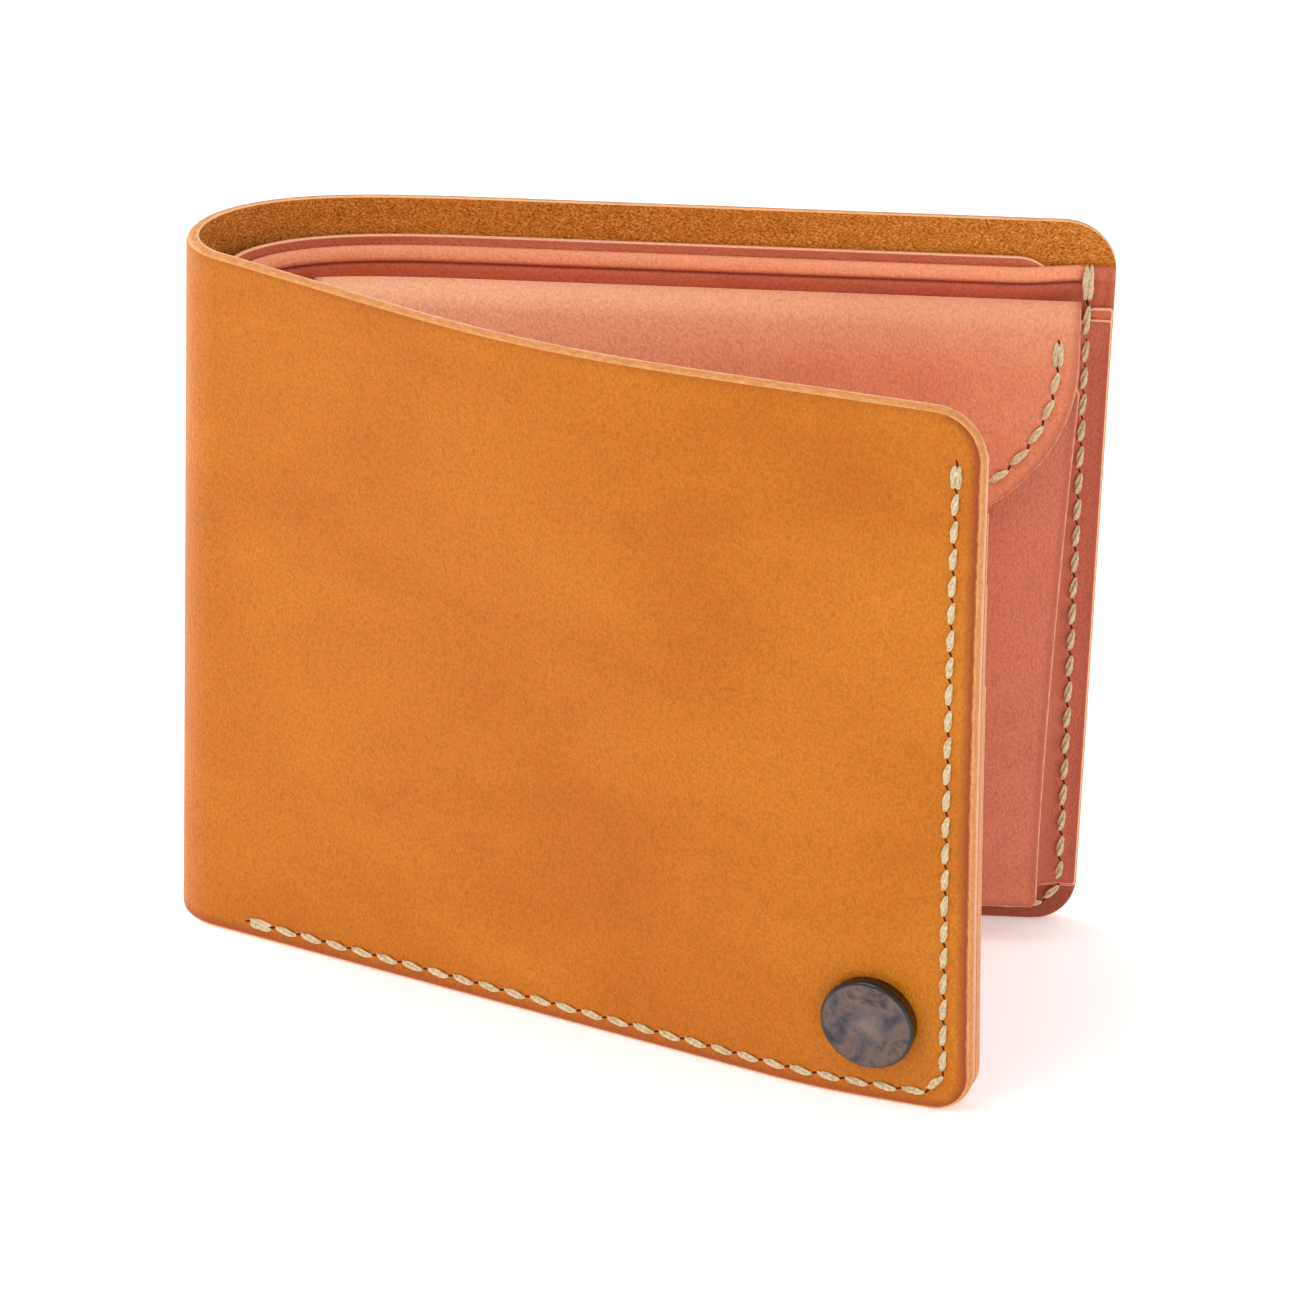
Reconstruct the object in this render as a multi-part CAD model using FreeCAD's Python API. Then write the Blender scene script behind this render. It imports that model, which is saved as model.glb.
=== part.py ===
import FreeCAD, Part
import math
import os

# Bifold leather wallet with a coin pocket, standing half open on its bottom edges.
# Millimetres, +Z up. The origin is the middle of the footprint's box, on the surface it stands on.
# The model is first laid out around its spine: the outside of the back half is the plane y = 0,
# the spine's outermost line is x = 0, and the inside of the wallet is towards -Y. The front half
# is the same layout turned about the spine. In each half, "run" is the distance along the panel
# from where the spine's curve ends, and "depth" is the distance inwards from the outside face.

Vector = FreeCAD.Vector
UP = Vector(0, 0, 1)

# ---- driving dimensions -------------------------------------------------------------------
COVER_HEIGHT = 90.0
PANEL_RUN = 97.0            # flat length of each half
SPINE_RADIUS = 10.0         # outside of the spine
OPEN_ANGLE = 24.0           # between the two halves, as it stands
CORNER_RADIUS = 6.5

COVER_THICKNESS = 1.5
DIVIDER_DEPTH = 1.85        # depth of each layer's outer face
DIVIDER_THICKNESS = 0.7
INNER_DEPTH = 2.9
INNER_THICKNESS = 1.0
INNER_HEIGHT = 85.0
DIVIDER_HEIGHT = 86.0
DIVIDER_SHORT = 8.0         # the divider stops this far from the free edge

CARD_PLY = 0.5
CARD_TOPS = (77.2, 68.0, 55.0)     # top edges, rear slot to front slot
CARD_START = 6.0                   # run where the card slots begin

# coin pocket, on the back half
POCKET_PLY = 0.8
POCKET_START = 1.0          # run where its back panel begins
POCKET_PANEL_TOP = 81.0
POCKET_ROOM = 4.4           # depth of the coin space
POCKET_FRONT_PLY = 0.9
POCKET_FRONT_TOP = 72.0
POCKET_FLOOR = 6.0
POCKET_LEFT_TOP = 3.6       # runs of the front's corners: it is wider at the top
POCKET_LEFT_BASE = 7.2
POCKET_RIGHT_TOP = 94.6
POCKET_RIGHT_BASE = 91.2
GUSSET_PLY = 0.6
GUSSET_INSET = 1.0

# flap over the pocket's mouth
FLAP_TOP = 82.8
FLAP_LEFT = 4.0
FLAP_RIGHT = 94.4
FLAP_DROP = 32.3            # from the fold to the lower edge
FLAP_CORNER = 22.7
FLAP_STANDOFF = 1.2         # the snap holds the flap this far off the pocket's front
FLAP_PLY = 0.8
LINING_PLY = 0.7
FLAP_CLEARANCE = 0.25

# hardware
SNAP_HEIGHT = 59.5
SNAP_CAP_RADIUS = 5.0
SNAP_CAP_RISE = 0.9
SNAP_SOCKET_RADIUS = 4.2
SNAP_SOCKET_BORE = 2.5
SNAP_STUD_RADIUS = 2.1
SNAP_BASE_RADIUS = 3.8
SNAP_BASE_THICKNESS = 0.3
HOLE_CLEARANCE = 0.05       # between a hole in leather and the post through it
CONCHO_RUN = 84.6
CONCHO_HEIGHT = 10.8
CONCHO_RADIUS = 6.1
CONCHO_EDGE = 1.0           # height of its straight rim
CONCHO_RISE = 0.7           # how far the middle domes above the rim
CONCHO_POST_RADIUS = 1.6
CONCHO_WASHER_RADIUS = 3.5
CONCHO_WASHER_THICKNESS = 0.3

# stitching
STITCH_PITCH = 3.5
STITCH_LENGTH = 2.8
STITCH_WIDTH = 0.7
STITCH_RISE = 0.35
STITCH_INSET = 2.8          # from the free edge
STITCH_BASE = 2.3           # above the bottom edge
STITCH_CORNER = 3.6         # the line cuts the corner by this much
SEAM_TOP = 84.3
STEP_MARGIN = 0.4           # stitches keep this far from a layer's top edge
STITCH_START = 1.0          # run where the bottom line begins outside
BACK_SEAM_START = 2.0       # and on the inside faces
FRONT_SEAM_START = 7.0
FLAP_STITCH_INSET = 2.1
FLAP_STITCH_DROP = 5.0

# where the spine bends: two creases, each in the middle of its half of the spine's curve
SPINE_SWEEP = 180.0 - OPEN_ANGLE
BACK_CREASE = SPINE_SWEEP * 0.25
FRONT_CREASE = SPINE_SWEEP * 0.75
BACK_CREASE_GAP = 2.0       # half of the wedge left open at each crease, in degrees
FRONT_CREASE_GAP = 7.5

# ---- places worked out from those ---------------------------------------------------------
SPINE_CENTRE = Vector(SPINE_RADIUS, -SPINE_RADIUS, 0)
POCKET_DEPTH = INNER_DEPTH + INNER_THICKNESS
ROOM_DEPTH = POCKET_DEPTH + POCKET_PLY
FRONT_DEPTH = ROOM_DEPTH + POCKET_ROOM
FRONT_FACE = FRONT_DEPTH + POCKET_FRONT_PLY
LINING_DEPTH = FRONT_FACE + FLAP_STANDOFF
FLAP_DEPTH = LINING_DEPTH + LINING_PLY
FLAP_FACE = FLAP_DEPTH + FLAP_PLY
CARD_DEPTH = INNER_DEPTH + INNER_THICKNESS
SNAP_RUN = (FLAP_LEFT + FLAP_RIGHT) / 2


def spine_point(angle, radius):
    """A point of the spine's curve, its angle counted from the back half."""
    turn = math.radians(angle)
    return SPINE_CENTRE + Vector(-radius * math.sin(turn), radius * math.cos(turn), 0)


BACK_CREASE_AXIS = spine_point(BACK_CREASE, SPINE_RADIUS)
FRONT_CREASE_AXIS = spine_point(FRONT_CREASE, SPINE_RADIUS)
FLAP_ROOT_AXIS = Vector(0, -(ROOM_DEPTH + 0.05), FLAP_TOP)
FLAP_FRONT_AXIS = Vector(0, -FLAP_FACE, FLAP_TOP)
POCKET_TILT_AXIS = Vector(0, -FRONT_FACE, POCKET_FLOOR)


# ---- building blocks ----------------------------------------------------------------------
def half_placement(half):
    """Carries (run, depth, height), with depth along +Y in the front and -Y in the back."""
    if half == "back":
        return FreeCAD.Placement(Vector(SPINE_RADIUS, 0, 0), FreeCAD.Rotation(UP, 0))
    return FreeCAD.Placement(spine_point(SPINE_SWEEP, SPINE_RADIUS), FreeCAD.Rotation(UP, -OPEN_ANGLE))


def inward(half):
    return -1.0 if half == "back" else 1.0


def placed(shape, half):
    shape = shape.copy()
    shape.Placement = half_placement(half).multiply(shape.Placement)
    return shape


def plate(half, outline, depth, thickness):
    """A flat layer of one half: a closed outline of (run, height) points, extruded inwards.

    A point may have a third value, the radius of its rounded corner.
    """
    edges = []
    corners = [rounded_corner(outline, i) for i in range(len(outline))]
    for i, corner in enumerate(corners):
        following = corners[(i + 1) % len(corners)]
        if len(corner) == 3:
            edges.append(Part.Arc(*corner).toShape())
        if corner[-1].distanceToPoint(following[0]) > 1e-6:
            edges.append(Part.LineSegment(corner[-1], following[0]).toShape())
    face = Part.Face(Part.Wire(Part.__sortEdges__(edges)))
    side = inward(half)
    face.translate(Vector(0, side * depth, 0))
    return placed(face.extrude(Vector(0, side * thickness, 0)), half)


def rounded_corner(outline, i):
    """The corner's own point, or the start, middle and end of the arc that rounds it."""
    here = Vector(outline[i][0], 0, outline[i][1])
    radius = outline[i][2] if len(outline[i]) > 2 else 0
    if not radius:
        return [here]
    before = Vector(outline[i - 1][0], 0, outline[i - 1][1]) - here
    after = Vector(outline[(i + 1) % len(outline)][0], 0, outline[(i + 1) % len(outline)][1]) - here
    before.normalize()
    after.normalize()
    half_angle = before.getAngle(after) / 2
    reach = radius / math.tan(half_angle)
    middle = before + after
    middle.normalize()
    centre = here + middle * (radius / math.sin(half_angle))
    return [here + before * reach, centre - middle * radius, here + after * reach]


def rectangle(left, right, low, high, radius_low=0, radius_high=0):
    """An outline whose two free-edge corners may be rounded."""
    return [(left, low), (right, low, radius_low), (right, high, radius_high), (left, high)]


def spine_layer(start, end, depth, thickness, height):
    """A stretch of the spine's curve between two angles."""
    outer = SPINE_RADIUS - depth
    inner = outer - thickness
    middle = (start + end) / 2
    edges = [
        Part.Arc(*[spine_point(angle, outer) for angle in (start, middle, end)]).toShape(),
        Part.LineSegment(spine_point(end, outer), spine_point(end, inner)).toShape(),
        Part.Arc(*[spine_point(angle, inner) for angle in (end, middle, start)]).toShape(),
        Part.LineSegment(spine_point(start, inner), spine_point(start, outer)).toShape(),
    ]
    return Part.Face(Part.Wire(edges)).extrude(UP * height)


def layer(half, length, depth, thickness, height, radius_low=0, radius_high=0):
    """A layer of one half with its share of the spine's curve."""
    flat = plate(half, rectangle(0, length, 0, height, radius_low, radius_high), depth, thickness)
    if half == "back":
        curve = spine_layer(0, BACK_CREASE - BACK_CREASE_GAP, depth, thickness, height)
    else:
        curve = spine_layer(FRONT_CREASE + FRONT_CREASE_GAP, SPINE_SWEEP, depth, thickness, height)
    return flat.fuse(curve).removeSplitter()


def middle_layer(depth, thickness, height):
    """The stretch of a layer between the two creases."""
    return spine_layer(BACK_CREASE + BACK_CREASE_GAP, FRONT_CREASE - FRONT_CREASE_GAP,
                       depth, thickness, height)


def disc(half, run, height, depth, radius, thickness, bore=0):
    """A round plate, or a ring when it has a bore, its axis along the depth."""
    side = inward(half)
    start = Vector(run, side * depth, height)
    direction = Vector(0, side, 0)
    shape = Part.makeCylinder(radius, thickness, start, direction)
    if bore:
        shape = shape.cut(Part.makeCylinder(bore, thickness, start, direction))
    return placed(shape, half)


def domed_disc(half, run, height, depth, radius, edge, rise, outwards):
    """A disc with a straight rim and a domed face, growing outwards or inwards from its depth."""
    sphere_radius = (radius * radius + rise * rise) / (2 * rise)
    top = edge + rise
    profile = Part.Wire([
        Part.LineSegment(Vector(0, 0, 0), Vector(radius, 0, 0)).toShape(),
        Part.LineSegment(Vector(radius, 0, 0), Vector(radius, 0, edge)).toShape(),
        Part.Arc(Vector(radius, 0, edge), dome_middle(radius, sphere_radius, top), Vector(0, 0, top)).toShape(),
        Part.LineSegment(Vector(0, 0, top), Vector(0, 0, 0)).toShape(),
    ])
    shape = Part.Face(profile).revolve(Vector(0, 0, 0), UP, 360)
    side = inward(half) * (-1 if outwards else 1)
    turn = FreeCAD.Rotation(UP, Vector(0, side, 0))
    shape.Placement = FreeCAD.Placement(Vector(run, inward(half) * depth, height), turn)
    return placed(shape, half)


def dome_middle(radius, sphere_radius, top):
    half = radius / 2
    return Vector(half, 0, top - sphere_radius + math.sqrt(sphere_radius ** 2 - half ** 2))


# ---- stitching ----------------------------------------------------------------------------
def along(points, pitch):
    """Middles and directions of stitches laid end to end along straight runs."""
    marks = []
    for start, end in zip(points, points[1:]):
        run = end - start
        count = max(1, int(round(run.Length / pitch)))
        marks += [(start + run * ((i + 0.5) / count), run) for i in range(count)]
    return marks


def stitches(half, points, depth_at, outwards):
    """One small solid for each stitch that shows on a face of the half."""
    side = inward(half)
    lift = -STITCH_RISE if outwards else 0.0
    solids = []
    for middle, direction in along([Vector(run, 0, height) for run, height in points], STITCH_PITCH):
        bar = Part.makeBox(STITCH_LENGTH, STITCH_RISE, STITCH_WIDTH,
                           Vector(-STITCH_LENGTH / 2, -STITCH_RISE / 2, -STITCH_WIDTH / 2))
        centre = side * (depth_at(middle.z) + lift + STITCH_RISE / 2)
        turn = FreeCAD.Rotation(Vector(1, 0, 0), direction)
        bar.Placement = FreeCAD.Placement(Vector(middle.x, centre, middle.z), turn)
        solids.append(placed(bar, half))
    return solids


def seam(top):
    """The stitch line of one half, down the free edge, across the corner and along the bottom."""
    edge = PANEL_RUN - STITCH_INSET
    return [(edge, top), (edge, STITCH_BASE + STITCH_CORNER),
            (edge - STITCH_CORNER, STITCH_BASE), (STITCH_START, STITCH_BASE)]


def front_stack(height):
    """Depth of the front half's inside face at a height: it steps at each card slot's top."""
    return CARD_DEPTH + CARD_PLY * sum(height < top for top in CARD_TOPS)


def back_stack(height):
    return ROOM_DEPTH if height < POCKET_PANEL_TOP else POCKET_DEPTH


def inside_stitches(half, top, steps, depth_at, start):
    """The same seam on the inside face, broken where the face steps at a layer's top edge."""
    line = seam(top)
    edge = line[0][0]
    levels = [line[1][1] - STEP_MARGIN] + sorted(steps) + [top]
    solids = []
    for low, high in zip(levels, levels[1:]):
        stretch = [(edge, high - STEP_MARGIN), (edge, low + STEP_MARGIN)]
        solids += stitches(half, stretch, depth_at, False)
    corner = line[1:3]
    base = [line[2], (start, STITCH_BASE)]
    return solids + stitches(half, corner, depth_at, False) + stitches(half, base, depth_at, False)


def back_stitches():
    outside = stitches("back", seam(SEAM_TOP), lambda height: 0.0, True)
    inside = inside_stitches("back", SEAM_TOP, [POCKET_PANEL_TOP], back_stack, BACK_SEAM_START)
    return Part.makeCompound(outside + inside)


def front_stitches():
    outside = stitches("front", seam(SEAM_TOP), lambda height: 0.0, True)
    inside = inside_stitches("front", SEAM_TOP, CARD_TOPS, front_stack, FRONT_SEAM_START)
    return Part.makeCompound(outside + inside)


# ---- cover, divider and inner panel -------------------------------------------------------
def outer_cover(half):
    return layer(half, PANEL_RUN, 0, COVER_THICKNESS, COVER_HEIGHT, CORNER_RADIUS, CORNER_RADIUS)


def bill_divider(half):
    return layer(half, PANEL_RUN - DIVIDER_SHORT, DIVIDER_DEPTH, DIVIDER_THICKNESS,
                 DIVIDER_HEIGHT, 0, CORNER_RADIUS)


def inner_panel(half):
    return layer(half, PANEL_RUN, INNER_DEPTH, INNER_THICKNESS, INNER_HEIGHT, CORNER_RADIUS, 1.0)


def card_slot(index):
    outline = rectangle(CARD_START, PANEL_RUN, 0, CARD_TOPS[index], CORNER_RADIUS, 1.0)
    return plate("front", outline, CARD_DEPTH + index * CARD_PLY, CARD_PLY)


# ---- coin pocket --------------------------------------------------------------------------
def snap_hole(depth, thickness):
    return disc("back", SNAP_RUN, SNAP_HEIGHT, depth, SNAP_STUD_RADIUS + HOLE_CLEARANCE, thickness)


def coin_back_panel():
    outline = rectangle(POCKET_START, PANEL_RUN, 0, POCKET_PANEL_TOP, CORNER_RADIUS, 1.0)
    return plate("back", outline, POCKET_DEPTH, POCKET_PLY)


def coin_pocket_front():
    outline = [(POCKET_LEFT_BASE, POCKET_FLOOR, 2.0), (POCKET_RIGHT_BASE, POCKET_FLOOR, 2.0),
               (POCKET_RIGHT_TOP, POCKET_FRONT_TOP, 1.0), (POCKET_LEFT_TOP, POCKET_FRONT_TOP, 1.0)]
    front = plate("back", outline, FRONT_DEPTH, POCKET_FRONT_PLY)
    return front.cut(snap_hole(FRONT_DEPTH, POCKET_FRONT_PLY))


def coin_gusset(left):
    """A folded side wall, leaning with the pocket's side."""
    base = POCKET_LEFT_BASE if left else POCKET_RIGHT_BASE
    top = POCKET_LEFT_TOP if left else POCKET_RIGHT_TOP
    side = 1.0 if left else -1.0
    low = POCKET_FLOOR + GUSSET_INSET
    high = POCKET_FRONT_TOP - GUSSET_INSET
    near = side * GUSSET_INSET
    far = side * (GUSSET_INSET + GUSSET_PLY)
    outline = [(base + near, low), (base + far, low), (top + far, high), (top + near, high)]
    return plate("back", outline, ROOM_DEPTH, POCKET_ROOM - FLAP_CLEARANCE)


def coin_gusset_base():
    outline = rectangle(POCKET_LEFT_BASE, POCKET_RIGHT_BASE, POCKET_FLOOR - GUSSET_PLY, POCKET_FLOOR)
    return plate("back", outline, ROOM_DEPTH, POCKET_ROOM - FLAP_CLEARANCE)


# ---- flap ---------------------------------------------------------------------------------
def flap_outline(inset, top):
    """The hanging part: straight sides, large rounded lower corners."""
    low = FLAP_TOP - FLAP_DROP + inset
    left = FLAP_LEFT + inset
    right = FLAP_RIGHT - inset
    radius = FLAP_CORNER - inset
    return [(left, low, radius), (right, low, radius), (right, top), (left, top)]


def flap_leather():
    hang = plate("back", flap_outline(0, FLAP_TOP - FLAP_PLY - FLAP_CLEARANCE), FLAP_DEPTH, FLAP_PLY)
    return hang.cut(snap_hole(FLAP_DEPTH, FLAP_PLY))


def flap_lining():
    top = FLAP_TOP - FLAP_PLY - LINING_PLY - FLAP_CLEARANCE
    hang = plate("back", flap_outline(0, top), LINING_DEPTH, LINING_PLY)
    return hang.cut(snap_hole(LINING_DEPTH, LINING_PLY))


def flap_fold():
    outline = rectangle(FLAP_LEFT, FLAP_RIGHT, FLAP_TOP - FLAP_PLY, FLAP_TOP)
    start = -FLAP_ROOT_AXIS.y + FLAP_CLEARANCE
    return plate("back", outline, start, FLAP_FACE - start)


def flap_fold_lining():
    outline = rectangle(FLAP_LEFT, FLAP_RIGHT, FLAP_TOP - FLAP_PLY - LINING_PLY, FLAP_TOP - FLAP_PLY)
    start = -FLAP_ROOT_AXIS.y + FLAP_CLEARANCE
    return plate("back", outline, start, FLAP_DEPTH - FLAP_CLEARANCE - start)


def flap_stitches():
    """Stitches along the flap's sides, corners and lower edge."""
    low = FLAP_TOP - FLAP_DROP + FLAP_STITCH_INSET
    left = FLAP_LEFT + FLAP_STITCH_INSET
    right = FLAP_RIGHT - FLAP_STITCH_INSET
    top = FLAP_TOP - FLAP_STITCH_DROP
    radius = FLAP_CORNER - FLAP_STITCH_INSET
    steps = 9
    turns = [math.radians(90.0 * i / steps) for i in range(steps + 1)]
    right_corner = [(right - radius + radius * math.cos(t), low + radius - radius * math.sin(t))
                    for t in turns]
    left_corner = [(left + radius - radius * math.sin(t), low + radius - radius * math.cos(t))
                   for t in turns]
    line = [(right, top)] + right_corner + left_corner + [(left, top)]
    return Part.makeCompound(stitches("back", line, lambda height: FLAP_FACE, False))


# ---- snap and concho ----------------------------------------------------------------------
def snap_cap():
    """Domed cap on the flap's face, with the short barrel that is set through the leather."""
    face = domed_disc("back", SNAP_RUN, SNAP_HEIGHT, FLAP_FACE, SNAP_CAP_RADIUS, 0.3,
                      SNAP_CAP_RISE - 0.3, False)
    barrel = disc("back", SNAP_RUN, SNAP_HEIGHT, LINING_DEPTH, SNAP_STUD_RADIUS,
                  FLAP_PLY + LINING_PLY, SNAP_STUD_RADIUS - 0.5)
    return face.fuse(barrel)


def snap_socket():
    thickness = FLAP_STANDOFF - SNAP_BASE_THICKNESS - FLAP_CLEARANCE
    return disc("back", SNAP_RUN, SNAP_HEIGHT, LINING_DEPTH - thickness, SNAP_SOCKET_RADIUS,
                thickness, SNAP_SOCKET_BORE)


def snap_stud():
    """The ring flange and the knob that the socket grips."""
    flange = disc("back", SNAP_RUN, SNAP_HEIGHT, FRONT_FACE, SNAP_BASE_RADIUS, SNAP_BASE_THICKNESS)
    knob = disc("back", SNAP_RUN, SNAP_HEIGHT, FRONT_FACE, SNAP_STUD_RADIUS - 0.3,
                FLAP_STANDOFF - FLAP_CLEARANCE)
    return flange.fuse(knob)


def snap_post():
    """The plate inside the pocket and the post through the pocket's front."""
    flange = disc("back", SNAP_RUN, SNAP_HEIGHT, FRONT_DEPTH - SNAP_BASE_THICKNESS, SNAP_BASE_RADIUS,
                  SNAP_BASE_THICKNESS)
    post = disc("back", SNAP_RUN, SNAP_HEIGHT, FRONT_DEPTH, SNAP_STUD_RADIUS, POCKET_FRONT_PLY)
    return flange.fuse(post)


def concho_cap():
    return domed_disc("front", CONCHO_RUN, CONCHO_HEIGHT, 0, CONCHO_RADIUS, CONCHO_EDGE, CONCHO_RISE, True)


def concho_post():
    return disc("front", CONCHO_RUN, CONCHO_HEIGHT, 0, CONCHO_POST_RADIUS,
                COVER_THICKNESS + CONCHO_WASHER_THICKNESS)


def concho_washer():
    return disc("front", CONCHO_RUN, CONCHO_HEIGHT, COVER_THICKNESS, CONCHO_WASHER_RADIUS,
                CONCHO_WASHER_THICKNESS, CONCHO_POST_RADIUS)


def drilled_front_cover():
    hole = disc("front", CONCHO_RUN, CONCHO_HEIGHT, 0, CONCHO_POST_RADIUS + HOLE_CLEARANCE, COVER_THICKNESS)
    return outer_cover("front").cut(hole)


# ---- assembly -----------------------------------------------------------------------------
def nodes():
    """Every sub-part, by name, laid out around the spine."""
    parts = {
        "outer_cover_back": outer_cover("back"),
        "outer_cover_spine": middle_layer(0, COVER_THICKNESS, COVER_HEIGHT),
        "outer_cover_front": drilled_front_cover(),
        "bill_divider_back": bill_divider("back"),
        "bill_divider_spine": middle_layer(DIVIDER_DEPTH, DIVIDER_THICKNESS, DIVIDER_HEIGHT),
        "bill_divider_front": bill_divider("front"),
        "inner_panel_back": inner_panel("back"),
        "inner_panel_spine": middle_layer(INNER_DEPTH, INNER_THICKNESS, INNER_HEIGHT),
        "inner_panel_front": inner_panel("front"),
        "coin_back_panel": coin_back_panel(),
        "coin_gusset_left": coin_gusset(True),
        "coin_gusset_right": coin_gusset(False),
        "coin_gusset_base": coin_gusset_base(),
        "coin_pocket_front": coin_pocket_front(),
        "flap_leather_fold": flap_fold(),
        "flap_lining_fold": flap_fold_lining(),
        "flap_leather": flap_leather(),
        "flap_lining": flap_lining(),
        "flap_stitching": flap_stitches(),
        "snap_cap": snap_cap(),
        "snap_socket": snap_socket(),
        "snap_stud": snap_stud(),
        "snap_post": snap_post(),
        "concho_cap": concho_cap(),
        "concho_post": concho_post(),
        "concho_washer": concho_washer(),
        "back_stitching": back_stitches(),
        "front_stitching": front_stitches(),
    }
    for index, name in enumerate(("card_slot_rear", "card_slot_middle", "card_slot_front")):
        parts[name] = card_slot(index)
    return parts


def footprint_shift(parts):
    """Moves the layout so that the origin is the middle of its box, on the standing surface."""
    box = FreeCAD.BoundBox()
    for shape in parts.values():
        box.add(shape.optimalBoundingBox(False))
    return Vector(-box.Center.x, -box.Center.y, -box.ZMin)


PARTS = nodes()
SHIFT = footprint_shift(PARTS)

os.makedirs("parts", exist_ok=True)
for name, shape in PARTS.items():
    moved = shape.copy()
    moved.translate(SHIFT)
    moved.exportStep("parts/%s.step" % name)
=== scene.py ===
import math

import bmesh
import bpy
import numpy as np
from mathutils import Matrix, Vector


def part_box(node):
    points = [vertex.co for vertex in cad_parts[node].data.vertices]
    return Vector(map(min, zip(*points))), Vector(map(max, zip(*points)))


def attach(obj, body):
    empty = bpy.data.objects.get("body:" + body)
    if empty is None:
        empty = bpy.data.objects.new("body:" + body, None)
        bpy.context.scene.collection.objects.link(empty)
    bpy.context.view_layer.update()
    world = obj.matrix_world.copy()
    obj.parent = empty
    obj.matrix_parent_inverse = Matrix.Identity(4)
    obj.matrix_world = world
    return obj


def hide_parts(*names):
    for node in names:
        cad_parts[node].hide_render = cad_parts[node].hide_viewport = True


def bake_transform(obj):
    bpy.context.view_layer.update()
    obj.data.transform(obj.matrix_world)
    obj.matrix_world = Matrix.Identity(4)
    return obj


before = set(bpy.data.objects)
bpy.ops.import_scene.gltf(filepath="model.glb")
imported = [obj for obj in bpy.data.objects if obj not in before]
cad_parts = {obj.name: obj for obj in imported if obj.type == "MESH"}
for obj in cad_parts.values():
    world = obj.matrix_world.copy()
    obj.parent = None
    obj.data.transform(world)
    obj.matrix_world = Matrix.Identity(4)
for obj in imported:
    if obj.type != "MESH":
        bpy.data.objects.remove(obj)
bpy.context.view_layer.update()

# A half-open leather bifold wallet with a coin pocket. Metres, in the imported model's frame.
# Layout axes: x runs along the back half from the spine, y is 0 on the back half's outside face
# and falls towards the inside, z is up. Depth is the distance inwards from the cover's outside.

MM = 0.001
COVER_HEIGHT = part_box("outer_cover_back")[1].z + 0.4 * MM
ORIGIN = np.array([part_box("outer_cover_spine")[0].x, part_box("outer_cover_back")[1].y, 0.0])

# ---- driving sizes ------------------------------------------------------------------------
COVER_THICKNESS = 1.5 * MM
TOP_CORNER = 6.3 * MM
FOOT_CORNER = 5.0 * MM
BACK_EDGE_FOOT = 106.45 * MM         # x of the back half's free edge, at its foot
BACK_EDGE_FLARE = 0.0205             # how much further out it is for each metre up
FRONT_EDGE_FOOT = 108.2 * MM         # the front half's length from the spine's apex, at its foot
FRONT_EDGE_TAPER = 0.0288            # how much less of it shows for each metre up
FRONT_DROOP = 0.0045                 # share of its height that the front half sinks
APEX_FOOT = 6.96 * MM                # how far the spine's apex stands inwards, at the foot
APEX_RISE = 7.74 * MM                # and how much more at the top edge

DIVIDER_THICKNESS = 0.7 * MM
DIVIDER_HEIGHT = 86.0 * MM
DIVIDER_SHORT = 6.5 * MM
INNER_THICKNESS = 1.15 * MM
INNER_HEIGHT = 85.0 * MM
CREASE_BELOW_TOP = 1.8 * MM
CREASE_FROM_EDGE = 1.2 * MM
CREASE_DEPTH = 0.22 * MM
CREASE_WIDTH = 0.35 * MM

CARD_PLY = 0.5 * MM
CARD_TOPS = {"card_slot_rear": 77.2 * MM, "card_slot_middle": 68.0 * MM, "card_slot_front": 55.0 * MM}
CARD_START = 15.0 * MM

POCKET_PLY = 0.8 * MM
POCKET_LEFT = 17.0 * MM
POCKET_RIGHT = 101.8 * MM
POCKET_FLARE = 2.7 * MM              # how much further out its sides are at its mouth
POCKET_TOP = 72.0 * MM
POCKET_FLOOR = 5.1 * MM
POCKET_PANEL_TOP = 80.2 * MM
FLANGE_TOP = 79.0 * MM
FLANGE_FOOT = 5.0 * MM
LEFT_FLANGE = 12.6 * MM
GUSSET_PLY = 0.6 * MM

FLAP_LEFT = 13.2 * MM
FLAP_RIGHT = 104.2 * MM
FLAP_TOP = 81.75 * MM
FLAP_DROP = 29.3 * MM
FLAP_CORNER = 21.5 * MM
FLAP_FRONT_DEPTH = 10.8 * MM         # at its lower edge
FLAP_LEAN = math.radians(2.7)
FLAP_ROOT_DEPTH = 4.0 * MM
FLAP_PLY = 0.8 * MM
LINING_PLY = 0.6 * MM

STITCH_PITCH = 3.4 * MM
STITCH_WIDTH = 1.0 * MM
STITCH_RINGS, STITCH_SIDES = 15, 8   # mesh divisions of one ply
FRONT_STITCH_EDGE = 3.3 * MM         # stitch line to each half's free edge, at the foot
BACK_STITCH_EDGE = 2.2 * MM
BACK_STITCH_SPREAD = 0.0125          # how much further in the back's line is for each metre up
STITCH_BASE = 2.2 * MM               # stitch line to the bottom edge

CONCHO_RADIUS = 5.75 * MM
CONCHO_HEIGHT = 10.8 * MM
CONCHO_FROM_EDGE = 12.0 * MM
SNAP_RAISE = 2.2 * MM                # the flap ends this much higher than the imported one

# depth of each layer's outer face where the halves are open, and where they are sewn flat
DEPTHS = {
    "divider": (1.75 * MM, 1.55 * MM),
    "inner": (2.9 * MM, 1.56 * MM),
    "card_slot_rear": (3.95 * MM, 2.6 * MM),
    "card_slot_middle": (4.5 * MM, 3.13 * MM),
    "card_slot_front": (5.05 * MM, 3.66 * MM),
    "coin_back": (3.95 * MM, 2.6 * MM),
    "flange": (4.8 * MM, 3.45 * MM),
}


# ---- shapes -------------------------------------------------------------------------------
def smooth(x):
    x = np.clip(x, 0.0, 1.0)
    return x * x * (3 - 2 * x)


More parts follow.
